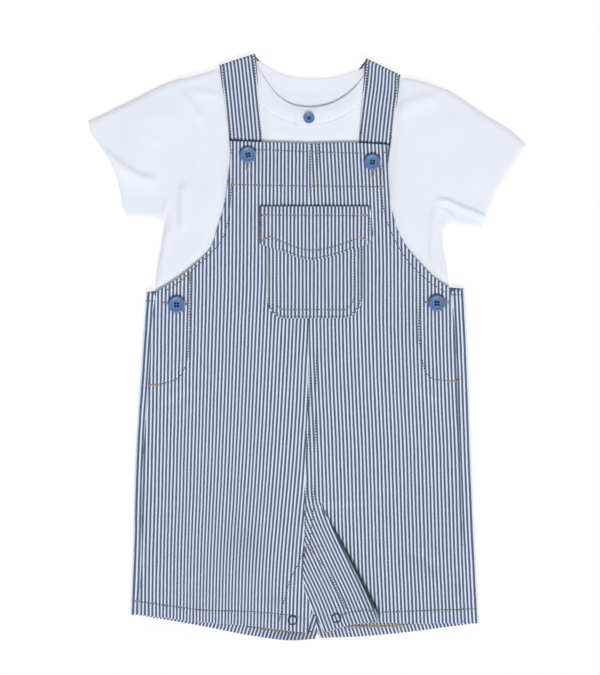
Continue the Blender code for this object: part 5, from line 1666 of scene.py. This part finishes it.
@dataclass
class Studio:
    """Pale floor, soft light and the camera straight above."""

    view_width: float = 540.0
    centre: tuple[float, float] = (-6.3, 7.65)
    distance: float = 3.0
    sensor: float = 36.0
    sky: float = 0.56
    key: float = 2.03
    glow: float = 0.78
    floor_half: float = 2500.0
    floor_z: float = -0.12

    def floor(self) -> bpy.types.Object:
        """A wide flat sheet just under the set."""
        signs = ((-1, -1), (1, -1), (1, 1), (-1, 1))
        corners = np.array([(x * self.floor_half, y * self.floor_half, self.floor_z) for x, y in signs])
        shader = Shader("pale_floor", 0.95)
        feed(shader.surface, Base_Color=(0.2, 0.2, 0.2, 1.0), Emission_Color=(1.0, 1.0, 1.0, 1.0),
             Emission_Strength=self.glow)
        made = new_mesh("floor", corners, np.array([[0, 1, 2, 3]]), shader.material)
        return made

    def soft_light(self, name: str, from_x: float, from_y: float, strength: float, spread: float) -> None:
        """An even, far light with a soft edge, that comes from over a point at unit height.

        Args:
            name: the light's name.
            from_x: where it comes from, along X.
            from_y: where it comes from, along Y.
            strength: its strength.
            spread: the angle that it fills, in degrees.
        """
        data = bpy.data.lights.new(name, "SUN")
        data.energy = strength
        data.angle = math.radians(spread)
        made = bpy.data.objects.new(name, data)
        bpy.context.scene.collection.objects.link(made)
        made.location = (from_x, from_y, 1.0)
        tilt, turn = math.atan(math.hypot(from_x, from_y)), math.atan2(from_y, from_x) + math.pi / 2
        made.rotation_euler = (tilt, 0.0, turn)

    def build(self) -> None:
        """Sets the stage."""
        self.floor()
        scene = bpy.context.scene
        world = bpy.data.worlds.new("studio")
        scene.world = world
        world.use_nodes = True
        feed(world.node_tree.nodes["Background"], Color=(1.0, 1.0, 1.0, 1.0), Strength=self.sky)
        self.soft_light("key_light", 0.22, -0.88, self.key, 18.0)
        data = bpy.data.cameras.new("camera")
        data.sensor_fit = "HORIZONTAL"
        data.sensor_width = self.sensor
        data.lens = self.sensor * self.distance / (self.view_width * MM)
        data.clip_end = 20.0
        camera = bpy.data.objects.new("camera", data)
        scene.collection.objects.link(camera)
        x, y = (value * MM + shift * MM for value, shift in zip(self.centre, ORIGIN_SHIFT))
        camera.location = (x, y, self.distance)
        scene.camera = camera
        scene.view_settings.view_transform = "Standard"
        scene.view_settings.look = "None"


# The whole set


@dataclass(frozen=True)
class Cut:
    """The flat size of a cloth piece, in metres, and its area where it isn't a rectangle."""

    width: float
    length: float
    share: float = 1.0


@dataclass
class DungareeSet:
    """Builds every piece and ties it to the frame."""

    finishes: Finishes

    def place(self, piece: bpy.types.Object, slot: str, node: str | None = None,
              rests_on: tuple = ()) -> None:
        """Rides a piece on the set's one body, and stands it for its node.

        Args:
            piece: the new object.
            slot: not used.
            node: the CAD node it replaces.
            rests_on: not used.
        """
        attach(piece, "root")
        if node:
            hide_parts(node)
        LOG.info("%s: %d faces", piece.name, len(piece.data.polygons))

    def dungarees(self) -> tuple[DungareeFront, DungareeBack, Straps, Pocket]:
        """The striped pieces."""
        front, back = DungareeFront(self.finishes), DungareeBack(self.finishes)
        straps, pocket = Straps(self.finishes), Pocket(self.finishes)
        for side in Side:
            self.place(back.build(side), "striped_cotton", f"dungaree_back_{side.value}", ("floor",))
            self.place(straps.build(side), "striped_cotton", f"strap_{side.value}",
                       ("tee_front_cloth", "floor"))
        self.place(front.left(), "striped_cotton", "dungaree_front_left", ("tee_front_cloth",))
        self.place(front.right(), "striped_cotton", "dungaree_front_right", ("tee_front_cloth",))
        self.place(pocket.body(), "striped_cotton", "pocket", ("dungaree_front_left_cloth",))
        self.place(pocket.flap(), "striped_cotton", "pocket_flap", ("pocket_cloth",))
        return front, back, straps, pocket

    def tee_shirt(self) -> TeeShirt:
        """The white pieces."""
        tee = TeeShirt(self.finishes)
        back = tee.panel("tee_back_cloth", NECK_SEAM_BACK, LAYERS.tee_back, 4.0)
        self.place(back, "white_jersey", "tee_back", ("dungaree_back_left_cloth", "floor"))
        front = tee.panel("tee_front_cloth", NECK_SEAM_FRONT, LAYERS.tee_front, 2.0)
        self.place(front, "white_jersey", "tee_front", ("tee_back_cloth",))
        for side in Side:
            self.place(tee.sleeve(side), "white_jersey", f"sleeve_{side.value}", ("floor",))
        self.place(tee.neckband(), "white_jersey", "neckband", ("tee_back_cloth",))
        self.place(tee.tab(), "white_jersey", "neck_tab", ("neckband_cloth",))
        return tee

    def sewing(self, front: DungareeFront, back: DungareeBack, straps: Straps, pocket: Pocket) -> None:
        """Topstitching, bar tacks and buttonholes."""
        left, right = front.top(Side.LEFT), front.top(Side.RIGHT)
        lines = [([(-68, 144.9), (0, 143.8)], left), ([(2.4, 143.8), (68, 143)], right),
                 ([(-46, 176.4), (0, 174.6)], left), ([(2.4, 174.4), (52, 173)], right),
                 ([(-156.4, -229), (-151.6, -229.4)], back.lap_top),
                 ([(140.4, -236.5), (152.6, -236.2)], back.lap_top),
                 ([(-144, 40.5), (-136.5, 40.5)], back.lap_top), ([(131, 45.9), (141, 45.9)], back.lap_top),
                 (FLAP_HEM_STITCH, right)]
        for side, top in ((Side.LEFT, left), (Side.RIGHT, right)):
            lines += [(table[side], top) for table in FRONT_STITCHES]
            lines += [(BACK_HEM_STITCH[side], back.top)] + [(line, straps.top) for line in straps.edges(side)]
        for line in (CENTRE_STITCH_NEAR, CENTRE_STITCH_FAR):
            lines += [([(line[0][0], 180.6), (line[0][0], 126.4)], right), (line[2:], right)]
        lines += [(line, pocket.flap_top) for line in pocket.flap_lines()]
        seams = [Seam(line, top) for line, top in lines]
        seams += [Seam(pocket.outline(inset).tolist(), pocket.body_top, False) for inset in POCKET_STITCHES]
        stitching = Stitching("tan_topstitching", seams=seams)
        self.place(stitching.build(self.finishes.tan), "striped_cotton")
        # Painted shadow of the needle holes, as dark cones between the stitches.
        self.place(stitching.needle_hole_shadows(self.finishes.navy), "striped_cotton")

        flap = pocket.flap_top
        tacks = [(-64.8, 144.9, 6.5, 0.0, left), (67.0, 143.0, 5.5, 0.0, right), (-37.0, 117.6, 8.0, 0.0, flap),
                 (50.9, 117.6, 7.0, 0.0, flap), (-37.6, 96.0, 7.5, 27.0, flap), (50.4, 96.4, 7.5, -27.0, flap),
                 (-105.3, 61.4, 8.5, 90.0, left), (-137.7, -35.1, 10.0, 0.0, left),
                 (131.0, -31.5, 11.0, 0.0, right), (0.6, -180.0, 4.0, 60.0, right)]
        tacks = BarTacks("orange_bar_tacks", [Bar(*row) for row in tacks])
        self.place(tacks.build(self.finishes.orange), "striped_cotton")
        edging = Stitching("tan_hem_edging", 1.35, 0.95, 0.26)
        right_hem = [(35, -251.6), (60, -250.2), (88, -249.6)]
        left_hem = [(-50, -252.2), (-25, -255.4), (-12, -257.2)]
        for line, drops in ((right_hem, (0.2, 1.1, 2.0, 2.9)), (left_hem, (0.0, 0.9))):
            edging.seams += [Seam([(x, y - drop) for x, y in line], back.top) for drop in drops]
        self.place(edging.build(self.finishes.edging), "striped_cotton")
        holes = Buttonholes("orange_buttonholes", [
            Bar(-53.6, 166.5, 17.0, 90.0, left), Bar(58.9, 160.0, 17.5, 90.0, right),
            Bar(-118.6, 38.4, 20.0, -4.0, left), Bar(117.6, 39.4, 22.5, 0.0, right),
        ])
        self.place(holes.build(self.finishes.worked), "striped_cotton")

    def fastenings(self, front: DungareeFront, tee: TeeShirt) -> None:
        """Buttons with their thread, painted near-black for the shade in their holes, and press studs."""
        angle = np.linspace(0.0, 2 * math.pi, 17)
        for button in BUTTONS:
            x = button.x + np.concatenate([[0.0], button.radius * np.cos(angle)])
            y = button.y + np.concatenate([[0.0], button.radius * np.sin(angle)])
            if button.node == "button_neck":
                base = tee.tab_top() + 0.4
            else:
                side = Side.LEFT if button.x < 0 else Side.RIGHT
                base = float(front.top(side)(x, y).max()) + 0.15
            face, thread = button.build(base, self.finishes)
            self.place(face, "blue_button", button.node)
            self.place(thread, "blue_button")
        for snap in SNAPS:
            side = Side.LEFT if snap.x < 0 else Side.RIGHT
            base = float(front.top(side)(np.array([snap.x]), np.array([snap.y]))[0]) - 0.1
            self.place(snap.build(base, self.finishes.enamel), "navy_enamel", snap.node)

    def build(self) -> None:
        """Every piece in the order in which they lie."""
        front, back, straps, pocket = self.dungarees()
        tee = self.tee_shirt()
        self.sewing(front, back, straps, pocket)
        self.fastenings(front, tee)


def main() -> None:
    """Builds the set and the studio."""
    logging.basicConfig(level=logging.INFO, format="%(name)s %(message)s")
    DungareeSet(Finishes()).build()
    Studio().build()


if __name__ == "__main__":
    main()
